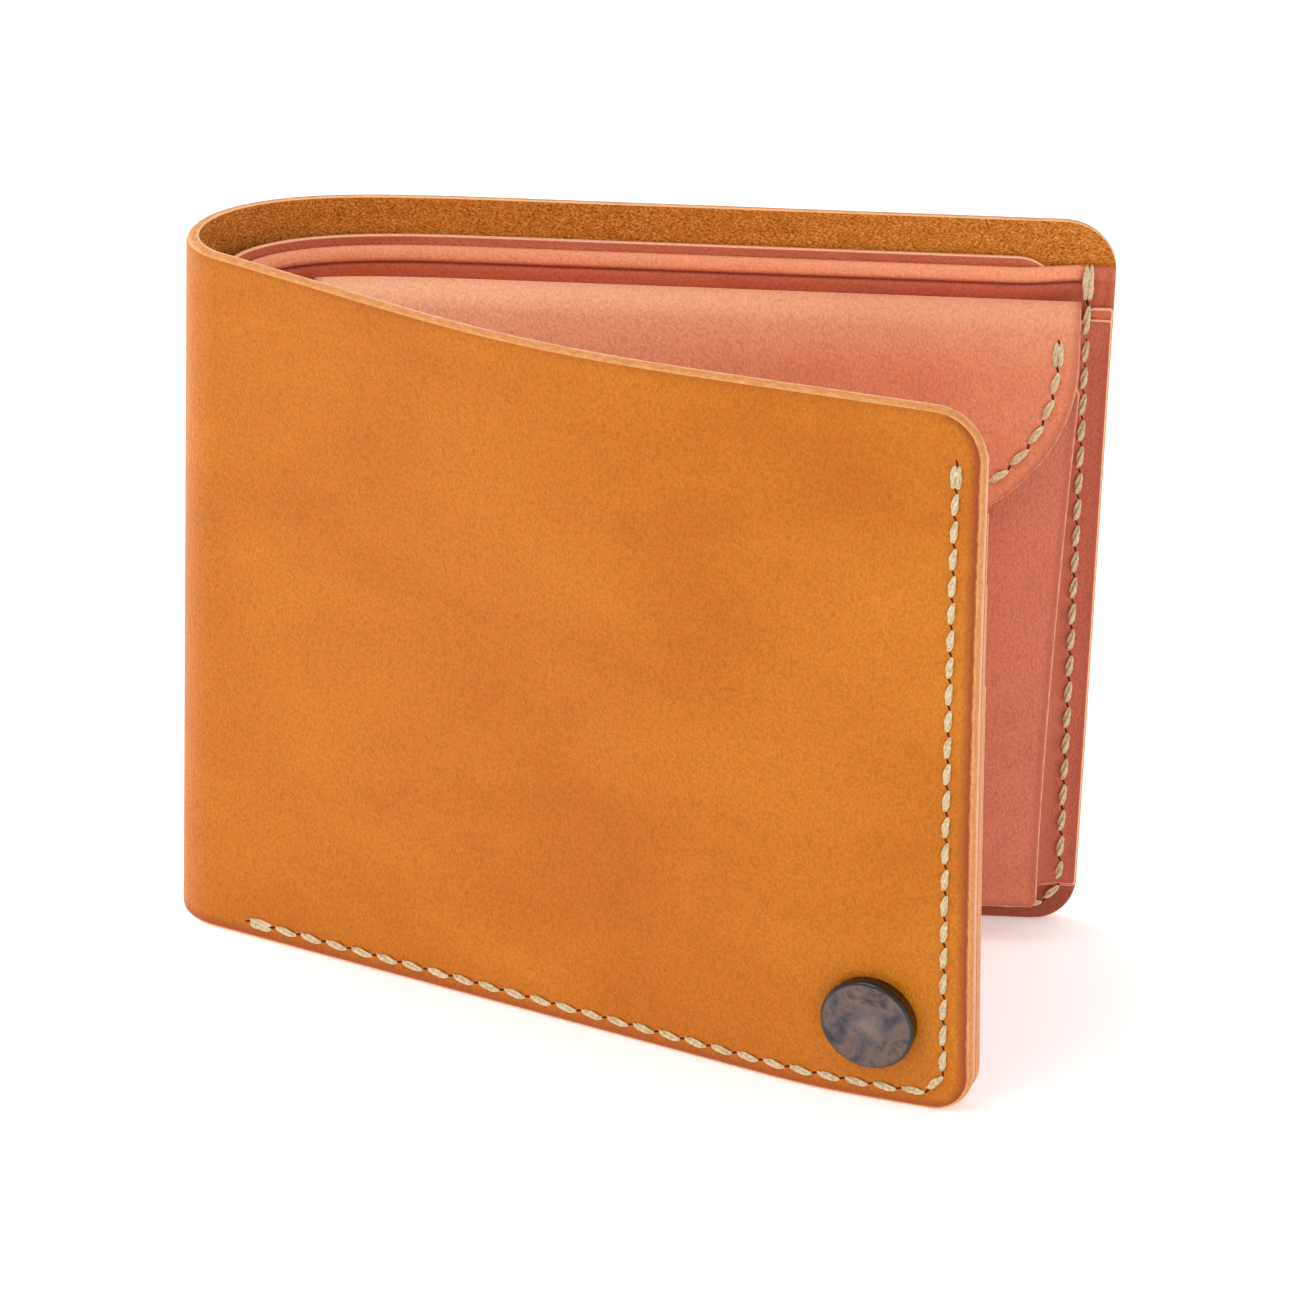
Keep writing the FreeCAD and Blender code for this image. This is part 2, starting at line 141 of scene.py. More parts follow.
def back_heading(station, k):
    """Direction of the back half's plan curve: square to the panel at the apex, then along it."""
    power = 1.3 + 2.7 * k
    u = np.linspace(0, 1, 400)
    reach = np.mean(np.sin(math.pi / 2 * (1 - u) ** power))
    length = (APEX_FOOT + APEX_RISE * k) / reach
    return math.pi / 2 * (1 - np.clip(station / length, 0, 1)) ** power


def front_heading(station, k):
    """The same for the front half, which bows outwards and straightens towards its free edge."""
    start, end = math.radians(26.7 + 4.3 * k), math.radians(16.3 - 1.3 * k)
    turn = (math.pi / 2 - start) * (1 - np.clip(station / (8.0 * MM), 0, 1))
    bend_start, bend_length = (81 - 54 * k) * MM, (16.7 + 32.6 * k) * MM
    return start + turn - (start - end) * smooth((station - bend_start) / bend_length)


class CoverHalf:
    """The outside face of one half of the cover: a plan curve for each height, walked by its
    station, the distance from the spine's apex, scaled so that the free edge is one station. A half
    may droop: its heights shrink by this share away from the spine."""

    STEP = 0.25 * MM

    def __init__(self, side, heading, edge, droop=0.0):
        self.side = side
        self.droop = droop
        self.heights = np.linspace(0, COVER_HEIGHT, 46)
        stations = np.arange(0, 125 * MM, self.STEP)
        rows, ends = [], []
        for height in self.heights:
            k = height / COVER_HEIGHT
            angle = heading(stations + self.STEP / 2, k)
            x = np.concatenate([[0], np.cumsum(np.cos(angle[:-1]))]) * self.STEP
            y = np.concatenate([[0], np.cumsum(np.sin(angle[:-1]))]) * self.STEP
            angle = heading(stations, k)
            y = side * y - (APEX_FOOT + APEX_RISE * k)
            rows.append(np.stack([x, y, np.sin(angle), -side * np.cos(angle)], axis=1))
            ends.append(edge(height, x, stations))
        self.table = np.array(rows)
        self.ends = np.array(ends)
        self.run = float(self.ends.mean())

    def lookup(self, station, height):
        """x, y and the inward normal at a station and a height, from the table."""
        walked = station * np.interp(height, self.heights, self.ends) / self.run
        i = np.clip(walked / self.STEP, 0, self.table.shape[1] - 1.001)
        j = np.clip(height / COVER_HEIGHT, 0, 1) * (len(self.heights) - 1.001)
        i0, j0 = i.astype(int), j.astype(int)
        u, v = (i - i0)[..., None], (j - j0)[..., None]
        low = self.table[j0, i0] * (1 - u) + self.table[j0, i0 + 1] * u
        high = self.table[j0 + 1, i0] * (1 - u) + self.table[j0 + 1, i0 + 1] * u
        return low * (1 - v) + high * v

    def point(self, station, height, depth):
        station, height, depth = np.broadcast_arrays(station, height, depth)
        found = self.lookup(station, height)
        x = found[..., 0] + depth * found[..., 2]
        y = found[..., 1] + depth * found[..., 3]
        level = height * (1 - self.droop * smooth(station / (50 * MM)))
        return ORIGIN + np.stack([x, y, level], axis=-1)

    def station_at(self, x, height):
        """The station where the outside face reaches x, at a height."""
        x, height = np.broadcast_arrays(np.asarray(x, float), np.asarray(height, float))
        low, high = np.zeros(x.shape), np.full(x.shape, 118 * MM)
        for _ in range(24):
            middle = (low + high) / 2
            short = self.lookup(middle, height)[..., 0] < x
            low, high = np.where(short, middle, low), np.where(short, high, middle)
        return (low + high) / 2


def back_edge(height):
    return BACK_EDGE_FOOT + BACK_EDGE_FLARE * height


def front_edge(height):
    return FRONT_EDGE_FOOT - FRONT_EDGE_TAPER * height


BACK = CoverHalf(1, back_heading, lambda height, x, s: np.interp(back_edge(height), x, s))
FRONT = CoverHalf(-1, front_heading, lambda height, x, s: front_edge(height), FRONT_DROOP)


def layer_depth(half, layer, station, height):
    """Depth of a layer's outer face: open in the middle, pressed at the sewn edges, and standing
    away from the cover where it goes round the spine."""
    opened, sewn = DEPTHS[layer]
    from_edge = np.minimum(half.run - station, height + 1.0 * MM)
    depth = sewn + (opened - sewn) * smooth((from_edge - 3.5 * MM) / (8.0 * MM))
    k = height / COVER_HEIGHT
    lift = (1.0 + 2.3 * k) * MM
    if layer == "divider":
        lift = lift - 0.25 * MM
    reach = (18.0 + 18.0 * k) * MM if half is BACK else 16.0 * MM
    near_spine = np.clip(1 - station / reach, 0, 1) ** 1.7
    return depth + (opened - depth) * smooth(near_spine * 2) + lift * near_spine


# ---- meshes -------------------------------------------------------------------------------
def make_object(name, points, quads, groups=None, materials=(), flat=None, rim=None, flat_shaded=None):
    """A mesh object from arrays. groups gives each quad's material slot; flat and rim become
    attributes that the materials read."""
    mesh = bpy.data.meshes.new(name)
    mesh.vertices.add(len(points))
    mesh.vertices.foreach_set("co", np.asarray(points, np.float32).ravel())
    mesh.loops.add(quads.size)
    mesh.loops.foreach_set("vertex_index", quads.astype(np.int32).ravel())
    mesh.polygons.add(len(quads))
    mesh.polygons.foreach_set("loop_start", np.arange(0, quads.size, 4, dtype=np.int32))
    mesh.update(calc_edges=True)
    if groups is not None:
        mesh.polygons.foreach_set("material_index", np.asarray(groups, np.int32))
    for material in materials:
        mesh.materials.append(material)
    measures = (("flat", "FLOAT_VECTOR", "vector", flat), ("rim", "FLOAT", "value", rim))
    for title, kind, key, values in measures:
        if values is not None:
            layer = mesh.attributes.new(title, kind, "POINT")
            layer.data.foreach_set(key, np.asarray(values, np.float32).ravel())
    work = bmesh.new()
    work.from_mesh(mesh)
    bmesh.ops.recalc_face_normals(work, faces=work.faces)
    work.to_mesh(mesh)
    work.free()
    flat_shaded = np.zeros(len(quads), bool) if flat_shaded is None else flat_shaded
    mesh.polygons.foreach_set("use_smooth", ~flat_shaded)
    mesh.update()
    found = bpy.data.objects.new(name, mesh)
    bpy.context.collection.objects.link(found)
    return found


def grid_quads(rows, columns, start=0):
    index = start + np.arange(rows * columns).reshape(rows, columns)
    quads = [index[:-1, :-1], index[:-1, 1:], index[1:, 1:], index[1:, :-1]]
    return np.stack(quads, axis=-1).reshape(-1, 4)


def perimeter(rows, columns):
    """Grid indices round the outline, anticlockwise from the lower left corner."""
    index = np.arange(rows * columns).reshape(rows, columns)
    return np.concatenate([index[0, :-1], index[:-1, -1], index[-1, :0:-1], index[:0:-1, 0]])


def graded(length, *millimetres):
    """Positions from 0 to length. The millimetres are the widest pitch, how long it stays fine at
    the start and at the end, and the fine pitch."""
    pitch, fine_start, fine_end, fine = (value * MM for value in millimetres)
    positions = [0.0]
    while positions[-1] < length:
        here = positions[-1]
        clear = max(min(here - fine_start, length - fine_end - here), 0.0)
        positions.append(here + min(pitch, fine + 0.35 * clear))
    positions = np.array(positions)
    return positions * length / positions[-1]


def straight_side(place):
    return lambda height: place + 0 * height


class Outline:
    """A cut shape, as rows of points between its two sides, with rounded corners. left and right
    are each side's place, or give it at a height; corners are the radii at (low left, low right,
    top left, top right). A seam side, where the piece meets its other half, isn't rounded."""

    def __init__(self, left, right, bottom, top, corners, columns, rows, seam=False):
        self.left, self.right = (side if callable(side) else straight_side(side) for side in (left, right))
        self.bottom, self.top, self.corners, self.seam = bottom, top, corners, seam
        self.low, self.high = max(*corners[:2], 1e-9), max(*corners[2:], 1e-9)
        turn = np.linspace(0, math.pi / 2, 16)
        straight = rows + bottom
        low_rows = bottom + self.low * (1 - np.cos(turn[:-1]))
        high_rows = top - self.high * (1 - np.cos(turn[-2::-1]))
        extra = straight[(straight > bottom + 0.2 * MM) & (straight < top - 0.2 * MM)]
        found = np.unique(np.concatenate([low_rows, high_rows, extra, [bottom + self.low]]))
        keep = np.concatenate([[True], np.diff(found) > 0.03 * MM])
        keep[-1] = True
        self.rows = found[keep]
        self.columns = columns / columns[-1]

    def bounds(self, height, inset):
        """Left and right limits at each height, inside the outline by inset."""
        def cut(beyond, radius):
            if radius == 0:
                return np.zeros_like(height)
            r = radius - inset
            return r - np.sqrt(np.maximum(r * r - np.clip(beyond, 0, r) ** 2, 0))

        low_left, low_right, top_left, top_right = self.corners
        left = self.left(height) + (0 if self.seam else inset)
        left = left + cut(self.bottom + low_left - height, low_left)
        left = left + cut(height - self.top + top_left, top_left)
        right = self.right(height) - inset
        right = right - cut(self.bottom + low_right - height, low_right)
        right = right - cut(height - self.top + top_right, top_right)
        return left, right

    def grid(self, inset):
        below = self.bottom + self.low - self.rows
        above = self.rows - (self.top - self.high)
        height = self.rows + np.clip(below, 0, None) / self.low * (inset if any(self.corners[:2]) else 0)
        height = height - np.clip(above, 0, None) / self.high * (inset if any(self.corners[2:]) else 0)
        left, right = self.bounds(height, inset)
        across = left[:, None] + (right - left)[:, None] * self.columns
        return across, np.repeat(height[:, None], len(self.columns), axis=1)

    def on_seam(self, rows, columns):
        """Which quads of a ring lie on an edge that meets the piece's other half."""
        foot, side, head = self.low < MM * 0.01, self.seam, self.high < MM * 0.01
        parts = [(foot, columns - 1), (False, rows - 1), (head, columns - 1), (side, rows - 1)]
        return np.concatenate([np.full(count, flag, bool) for flag, count in parts])

    def rim(self, across, height):
        """Distance to the nearest cut edge."""
        left, right = self.bounds(height, 0)
        nearest = right - across
        for edge, distance in ((self.low > MM * 0.01, height - self.bottom),
                               (self.high > MM * 0.01, self.top - height),
                               (not self.seam, across - left)):
            nearest = np.minimum(nearest, distance) if edge else nearest
        return nearest


def rounded_edge(thickness, radius, far_radius, steps=4):
    """(inset, depth) pairs from one face, round the cut edge, to the other face. A wider radius on
    one face leaves that side more worn down."""
    turn = np.linspace(0, math.pi / 2, steps)
    near = [(radius * (1 - math.sin(a)), min(radius, thickness * 0.6) * (1 - math.cos(a))) for a in turn]
    far = [(far_radius * (1 - math.sin(a)), thickness - far_radius * (1 - math.cos(a))) for a in turn]
    return near + far[::-1]


def leather_piece(name, outline, place, thickness, materials, edge_radius=None, relief=None, nodes=None):
    """A closed leather panel in place of its CAD nodes. place(across, height, depth) puts a point of
    the flat cut in space, depth 0 being its outer face. materials are for the outer face, the inner
    face and the edge."""
    radius, far_radius = edge_radius or (thickness * 0.4, thickness * 0.4)
    profile = rounded_edge(thickness, radius, far_radius)
    across, height = outline.grid(profile[0][0])
    far_across, far_height = outline.grid(profile[-1][0])
    rows, columns = across.shape
    ring = perimeter(rows, columns)

    def face(across, height, depth, side):
        pushed = relief(across, height, side) if relief else 0.0
        lower = np.full_like(across, depth) + (pushed if side == 0 else -pushed)
        return np.stack([across, height, lower], -1).reshape(-1, 3)

    flats = [face(across, height, 0.0, 0)]
    for inset, depth in profile[1:-1]:
        a, h = (values.ravel()[ring] for values in outline.grid(inset))
        share = depth / thickness
        pushed = relief(a, h, 0) * (1 - share) - relief(a, h, 1) * share if relief else 0.0
        flats.append(np.stack([a, h, depth + pushed + 0 * a], -1))
    flats.append(face(far_across, far_height, thickness, 1))

    face_size, middle_rings = rows * columns, len(profile) - 2
    loops = [face_size + len(ring) * i + np.arange(len(ring)) for i in range(middle_rings)]
    start = face_size + len(ring) * middle_rings
    loops = [ring, *loops, start + ring]
    quads = [grid_quads(rows, columns)]
    for near, far in zip(loops[:-1], loops[1:]):
        quads.append(np.stack([near, np.roll(near, -1), np.roll(far, -1), far], -1))
    quads.append(grid_quads(rows, columns, start))
    groups = np.repeat([0, 0, *[2] * (middle_rings - 1), 1, 1], [len(part) for part in quads])
    plain, on_seam = np.zeros(len(quads[0]), bool), outline.on_seam(rows, columns)
    caps = np.concatenate([plain, *[on_seam] * (middle_rings + 1), plain])
    flat = np.concatenate(flats)
    points = place(flat[:, 0], flat[:, 1], flat[:, 2])
    piece = make_object(name, points, np.concatenate(quads), groups, materials,
                        flat, outline.rim(flat[:, 0], flat[:, 1]), caps)
    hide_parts(*(nodes or [name]))
    return piece


def tube_points(centres, side, up, across, tall, sides):
    """Rings of points round a line, with an elliptical section."""
    turn = np.arange(sides) * 2 * math.pi / sides
    wide = across[:, None, None] * np.cos(turn)[None, :, None] * side[:, None, :]
    high = tall[:, None, None] * np.sin(turn)[None, :, None] * up[:, None, :]
    return centres[:, None, :] + wide + high


def tube_quads(rings, sides):
    index = np.arange(rings * sides).reshape(rings, sides)
    after = np.roll(index, -1, axis=1)
    return np.stack([index[:-1], after[:-1], after[1:], index[1:]], -1).reshape(-1, 4)


class Heap:
    """Points and quads gathered from many small shapes."""

    def __init__(self):
        self.points, self.quads, self.count = [], [], 0

    def add(self, points, quads):
        self.points.append(points)
        self.quads.append(quads + self.count)
        self.count += len(points)

    def joined(self):
        return np.concatenate(self.points), np.concatenate(self.quads)


def one_stitch(start, end, normal, slant, width, taper):
    """Points and quads of one stitch: three plies twisted together, diving into a hole at each end.
    A smaller taper keeps it full nearer its ends."""
    rings, sides, plies = STITCH_RINGS, STITCH_SIDES, 3
    length = np.linalg.norm(end - start)
    along = (end - start) / length
    across = np.cross(normal, along)
    u = np.linspace(0, 1, rings)
    swell = np.sin(math.pi * u) ** taper
    lift = width * (0.24 * swell - 0.22 * (1 - swell) ** 2)
    sway = slant * (0.5 - u)
    spine = start + np.outer(u * length, along) + np.outer(lift, normal) + np.outer(sway, across)
    out, radius = 0.26 * width * swell, width * (0.04 + 0.21 * swell)
    stitch = Heap()
    for ply in range(plies):
        phase = 2 * math.pi * (ply / plies + 0.42 * u)
        centre = spine + np.outer(out * np.cos(phase), across) + np.outer(out * np.sin(phase) * 0.6, normal)
        ring = tube_points(centre, np.tile(across, (rings, 1)), np.tile(normal, (rings, 1)),
                           radius, radius * 0.72, sides)
        stitch.add(ring.reshape(-1, 3), tube_quads(rings, sides))
    return stitch.joined()


def close_tubes(quads, rings, sides, count):
    """End caps for a run of tubes, as quads fanned in pairs across each end ring."""
    caps = []
    for tube in range(count):
        for ring in (0, rings - 1):
            base = (tube * rings + ring) * sides
            for i in range(0, sides - 2, 2):
                caps.append([base, base + i + 1, base + i + 2, base + (i + 3) % sides])
    return np.concatenate([quads, np.array(caps)])


def stitching(name, runs, body):
    """A piece with every stitch of some runs, and dark plugs in the awl slots they pass through, painted
    shade for the holes' insides. A run is (holes, normals, doubled, first_slot), the holes in order; doubled
    numbers the stitches sewn twice, and first_slot is the first hole that shows."""
    threads, slots = Heap(), Heap()
    for holes, normals, doubled, first_slot in runs:
        last = len(holes) - 1
        for i in range(last):
            length = np.linalg.norm(holes[i + 1] - holes[i])
            along = (holes[i + 1] - holes[i]) / length
            normal = normals[i] + normals[i + 1]
            normal = normal / np.linalg.norm(normal)
            if i in doubled:
                offsets, slant, width, taper = (-0.29, 0.29), 0.1 * MM, 0.86 * STITCH_WIDTH, 0.42
            else:
                offsets, slant, width, taper = (0.0,), 0.42 * MM, STITCH_WIDTH, 0.66
            for offset in offsets:
                shift = np.cross(normal, along) * offset * STITCH_WIDTH
                start = holes[i] + along * 0.05 * length + shift
                end = holes[i + 1] - along * 0.05 * length + shift
                threads.add(*one_stitch(start, end, normal, slant, width, taper))
        # Dark plugs of painted shade, one in each awl hole that shows.
        for i in range(first_slot, last + 1):
            ahead = holes[min(i + 1, last)] - holes[max(i - 1, 0)]
            along = ahead / np.linalg.norm(ahead)
            slot_line = along * 0.94 + np.cross(normals[i], along) * 0.34
            slots.add(*lens(holes[i] - normals[i] * 0.03 * MM, slot_line, normals[i]))
    thread_points, thread_quads = threads.joined()
    slot_points, slot_quads = slots.joined()
    tubes = threads.count // (STITCH_RINGS * STITCH_SIDES)
    thread_quads = close_tubes(thread_quads, STITCH_RINGS, STITCH_SIDES, tubes)
    groups = np.repeat([0, 1], [len(thread_quads), len(slot_quads)])
    piece = make_object(name, np.concatenate([thread_points, slot_points]),
                        np.concatenate([thread_quads, slot_quads + threads.count]), groups, [THREAD, HOLE_SHADE])
    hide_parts(name)
    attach(piece, body)


def lens(centre, along, normal):
    """A flat lens-shaped plug, closed, of quads."""
    half_length, half_width, half_height = 0.55 * MM, 0.14 * MM, 0.07 * MM
    along = along / np.linalg.norm(along)
    across = np.cross(normal, along)
    rings, sides = 5, 12
    turn = np.arange(sides) * 2 * math.pi / sides
    points = []
    for level, reach in zip(np.linspace(-1, 1, rings), (0.55, 0.9, 1.0, 0.9, 0.55)):
        ring = (np.outer(np.cos(turn) * half_length * reach, along)
                + np.outer(np.sin(turn) * half_width * reach, across) + normal * level * half_height)
        points.append(centre + ring)
    quads = close_tubes(tube_quads(rings, sides), rings, sides, 1)
    return np.concatenate(points), quads


def lathe(name, profile, centre, axis, body, material, relief=None, sides=72):
    """A turned piece: profile is (radius, height) pairs from the axis outwards and back to it."""
    axis = axis / np.linalg.norm(axis)
    first = np.cross([0, 0, 1.0], axis)
    first = first / np.linalg.norm(first)
    second = np.cross(axis, first)
    turn = np.arange(sides) * 2 * math.pi / sides
    points, flats = [], []
    for radius, height in profile:
        x, y = np.cos(turn) * radius, np.sin(turn) * radius
        rise = height + (relief(x, y, height) if relief else 0 * x)
        points.append(centre + np.outer(x, first) + np.outer(y, second) + np.outer(rise, axis))
        flats.append(np.stack([x, y, rise], -1))
    quads = close_tubes(tube_quads(len(profile), sides), len(profile), sides, 1)
    piece = make_object(name, np.concatenate(points), quads, None, [material], np.concatenate(flats))
    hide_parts(name)
    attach(piece, body)


# ---- materials ----------------------------------------------------------------------------
def colour(*levels):
    """Linear colour from 8-bit sRGB red, green and blue."""
    values = np.array(levels) / 255
    linear = np.where(values <= 0.04045, values / 12.92, ((values + 0.055) / 1.055) ** 2.4)
    return (*[float(v) for v in linear], 1.0)


class Shader:
    """A material and short ways to add the nodes that these surfaces use."""

    def __init__(self, name):
        self.material = bpy.data.materials.new(name)
        self.material.use_nodes = True
        self.nodes = self.material.node_tree.nodes
        self.links = self.material.node_tree.links
        self.surface = self.nodes["Principled BSDF"]

    def add(self, kind, inputs=None, **settings):
        node = self.nodes.new(kind)
        for key, value in settings.items():
            setattr(node, key, value)
        for key, value in (inputs or {}).items():
            self.plug(value, node.inputs[key])
        return node

    def plug(self, value, socket):
        if isinstance(value, bpy.types.NodeSocket):
            self.links.new(value, socket)
        else:
            socket.default_value = value

    def flat(self):
        """The point's place in the flat cut: across, height and depth, in metres."""
        return self.add("ShaderNodeAttribute", attribute_name="flat").outputs["Vector"]

    def rim(self):
        """Distance to the nearest cut edge, in metres."""
        return self.add("ShaderNodeAttribute", attribute_name="rim").outputs["Fac"]

    def place(self):
        return self.add("ShaderNodeTexCoord").outputs["Object"]

    def parts(self, vector):
        """The vector's X, Y and Z."""
        return self.add("ShaderNodeSeparateXYZ", {"Vector": vector}).outputs

    def mapped(self, vector, scale=(1, 1, 1), turn=0.0):
        node = self.add("ShaderNodeMapping", {"Vector": vector, "Scale": scale, "Rotation": (0, 0, turn)})
        return node.outputs["Vector"]

    def noise(self, vector, scale, detail=3.0, roughness=0.55, distortion=0.0):
        node = self.add("ShaderNodeTexNoise", {"Vector": vector, "Scale": scale, "Detail": detail,
                                               "Roughness": roughness, "Distortion": distortion})
        return node.outputs["Fac"]

    def cells(self, vector, scale, feature="SMOOTH_F1"):
        node = self.add("ShaderNodeTexVoronoi", {"Vector": vector, "Scale": scale}, feature=feature)
        return node.outputs["Distance"]

    def ramp(self, factor, stops):
        node = self.add("ShaderNodeValToRGB", {"Fac": factor})
        band = node.color_ramp.elements
        while len(band) < len(stops):
            band.new(0.5)
        for element, (position, tone) in zip(band, stops):
            element.position, element.color = position, colour(*tone)
        return node.outputs["Color"]

    def between(self, value, low, high, out_low=0.0, out_high=1.0):
        node = self.add("ShaderNodeMapRange", {"Value": value, "From Min": low, "From Max": high,
                                               "To Min": out_low, "To Max": out_high})
        return node.outputs["Result"]

    def mix(self, factor, first, second, blend="MIX"):
        node = self.add("ShaderNodeMix", data_type="RGBA", blend_type=blend)
        self.plug(factor, node.inputs[0])
        self.plug(first, node.inputs[6])
        self.plug(second, node.inputs[7])
        return node.outputs[2]

    def tint(self, base, value, low, high, share, tone):
        """Turns base by up to this share to a tone, as the value goes from low to high."""
        return self.mix(self.between(value, low, high, 0.0, share), base, colour(*tone))

    def maths(self, operation, first, second=0.0):
        node = self.add("ShaderNodeMath", operation=operation)
        self.plug(first, node.inputs[0])
        self.plug(second, node.inputs[1])
        return node.outputs[0]

    def bump(self, height, distance, strength=1.0, below=None):
        inputs = {"Height": height, "Distance": distance, "Strength": strength}
        if below is not None:
            inputs["Normal"] = below
        return self.add("ShaderNodeBump", inputs).outputs["Normal"]

    def finish(self, base, roughness, normal=None, specular=0.5, metallic=0.0):
        self.plug(base, self.surface.inputs["Base Color"])
        self.plug(roughness, self.surface.inputs["Roughness"])
        if normal is not None:
            self.plug(normal, self.surface.inputs["Normal"])
        self.surface.inputs["Specular IOR Level"].default_value = specular
        self.plug(metallic, self.surface.inputs["Metallic"])
        return self.material


def grain_height(shader, flat, pebble):
    """Hair-cell grain: slightly stretched pebbles of uneven height, about 0.7 on average."""
    pebbles = shader.cells(shader.mapped(flat, (1.0, 0.72, 1.0), math.radians(32)), pebble)
    uneven = shader.noise(flat, pebble * 0.8, 3.0, 0.6)
    inverse = shader.between(pebbles, 0.0, 1.0, 0.75, 0.0)
    return shader.maths("ADD", inverse, shader.maths("MULTIPLY", uneven, 0.5))


def with_grain_shade(shader, base, height, contrast):
    """Painted shade in the valleys of the grain and a painted highlight on its tops, in the base colour."""
    shade = shader.between(height, 0.48, 0.92, 1 - contrast, 1 + contrast)
    return shader.mix(1.0, base, shade, "MULTIPLY")


def with_spots(shader, base, place, scale, size, tone):
    """Scatters a few small marks over a face."""
    spots = shader.cells(place, scale, "F1")
    return shader.mix(shader.between(spots, size, 0.03, 0.0, 0.4), base, tone)


def tan_face(name, run):
    """Vegetable-tanned cover leather: warm tan with faint clouding and painted shade and highlight on its
    grain. Along its rims runs a dark line, burnish deepened by painted shade where the rounded edge faces
    away from the light: full down the free edge, at station run, strong along the foot and faint along the
    top. Down the free edge a paler worn band follows it."""
    shader = Shader(name)
    flat = shader.flat()
    height = grain_height(shader, flat, 3800)
    clouds = shader.noise(shader.mapped(flat, (1.0, 1.5, 1.0), 0.4), 26, 4.0, 0.55, 0.4)
    base = shader.ramp(clouds, [(0.30, (187, 102, 13)), (0.50, (196, 112, 19)),
                                (0.72, (206, 123, 27))])
    smudges = shader.noise(shader.mapped(flat, (1.0, 2.6, 1.0), 0.1), 48, 5.0, 0.62, 0.8)
    base = shader.tint(base, smudges, 0.58, 0.80, 0.30, (172, 86, 28))
    # Painted shade and highlight on the grain.
    base = with_grain_shade(shader, base, height, 0.14)
    base = with_spots(shader, base, shader.mapped(flat, turn=1.1), 210, 0.055, colour(150, 72, 26))
    # Partly painted shade: the dark burnished line is full down the free edge and strong along the foot,
    # where the rounded edge faces away from the light, and faint along the lit top.
    place = shader.parts(flat)
    beside = shader.between(place["X"], run - 6 * MM, run - 4 * MM)
    lower = shader.maths("MAXIMUM", beside, shader.between(place["Y"], 6 * MM, 3 * MM, 0.2, 0.75))
    waver = shader.between(shader.noise(flat, 700, 3.0, 0.6), 0.3, 0.7, -0.10 * MM, 0.10 * MM)
    from_rim = shader.maths("ADD", shader.rim(), waver)
    line = shader.maths("MULTIPLY", shader.between(from_rim, 0.75 * MM, 1.9 * MM, 0.85, 0.0), lower)
    base = shader.mix(line, base, colour(150, 62, 30))
    lightened = shader.maths("MULTIPLY", shader.between(from_rim, 0.62 * MM, 0.3 * MM, 0.0, 0.9), beside)
    fibres = shader.noise(shader.mapped(flat, (3.0, 1.0, 1.0)), 1500, 3.0, 0.7)
    pale = shader.ramp(fibres, [(0.35, (206, 132, 76)), (0.65, (244, 184, 124))])
    base = shader.mix(lightened, base, pale)
    gloss = shader.between(clouds, 0.3, 0.7, 0.50, 0.42)
    normal = shader.bump(height, 0.15 * MM, 0.9)
    return shader.finish(base, gloss, normal, specular=0.2)


def flesh_side():
    """The cover's inside: sueded flesh, brown with fine light and dark fibres."""
    shader = Shader("flesh_side")
    flat = shader.flat()
    fine = shader.noise(shader.mapped(flat, (1.0, 1.3, 1.0), 0.5), 2700, 4.0, 0.8)
    tufts = shader.noise(flat, 800, 4.0, 0.6)
    both = shader.maths("ADD", shader.maths("MULTIPLY", fine, 0.84), shader.maths("MULTIPLY", tufts, 0.16))
    base = shader.ramp(both, [(0.40, (134, 68, 16)), (0.47, (200, 116, 38)),
                              (0.54, (220, 138, 52)), (0.63, (246, 190, 120))])
    clouds = shader.noise(flat, 60, 3.0, 0.5)
    base = shader.tint(base, clouds, 0.35, 0.7, 0.2, (222, 140, 50))
    normal = shader.bump(both, 0.22 * MM, 0.9)
    return shader.finish(base, 0.95, normal, specular=0.12)


def cut_edge(name, outer, fibre, inner, streak, thickness):
    """A burnished cut edge: its colour runs through the thickness, with fibres along it."""
    shader = Shader(name)
    flat = shader.flat()
    waver = shader.between(shader.noise(flat, 420, 3.0, 0.6), 0.3, 0.7, -0.10, 0.10)
    through = shader.maths("ADD", shader.between(shader.parts(flat)["Z"], 0.0, thickness), waver)
    base = shader.ramp(through, [(0.05, outer), (0.30, fibre), (0.68, fibre), (0.90, inner)])
    streaks = shader.noise(shader.mapped(flat, (1.0, 1.0, 4.0)), 1500, 3.0, 0.7)
    base = shader.tint(base, streaks, 0.45, 0.72, 0.5, streak)
    normal = shader.bump(streaks, 0.08 * MM, 0.7)
    return shader.finish(base, 0.5, normal, specular=0.35)


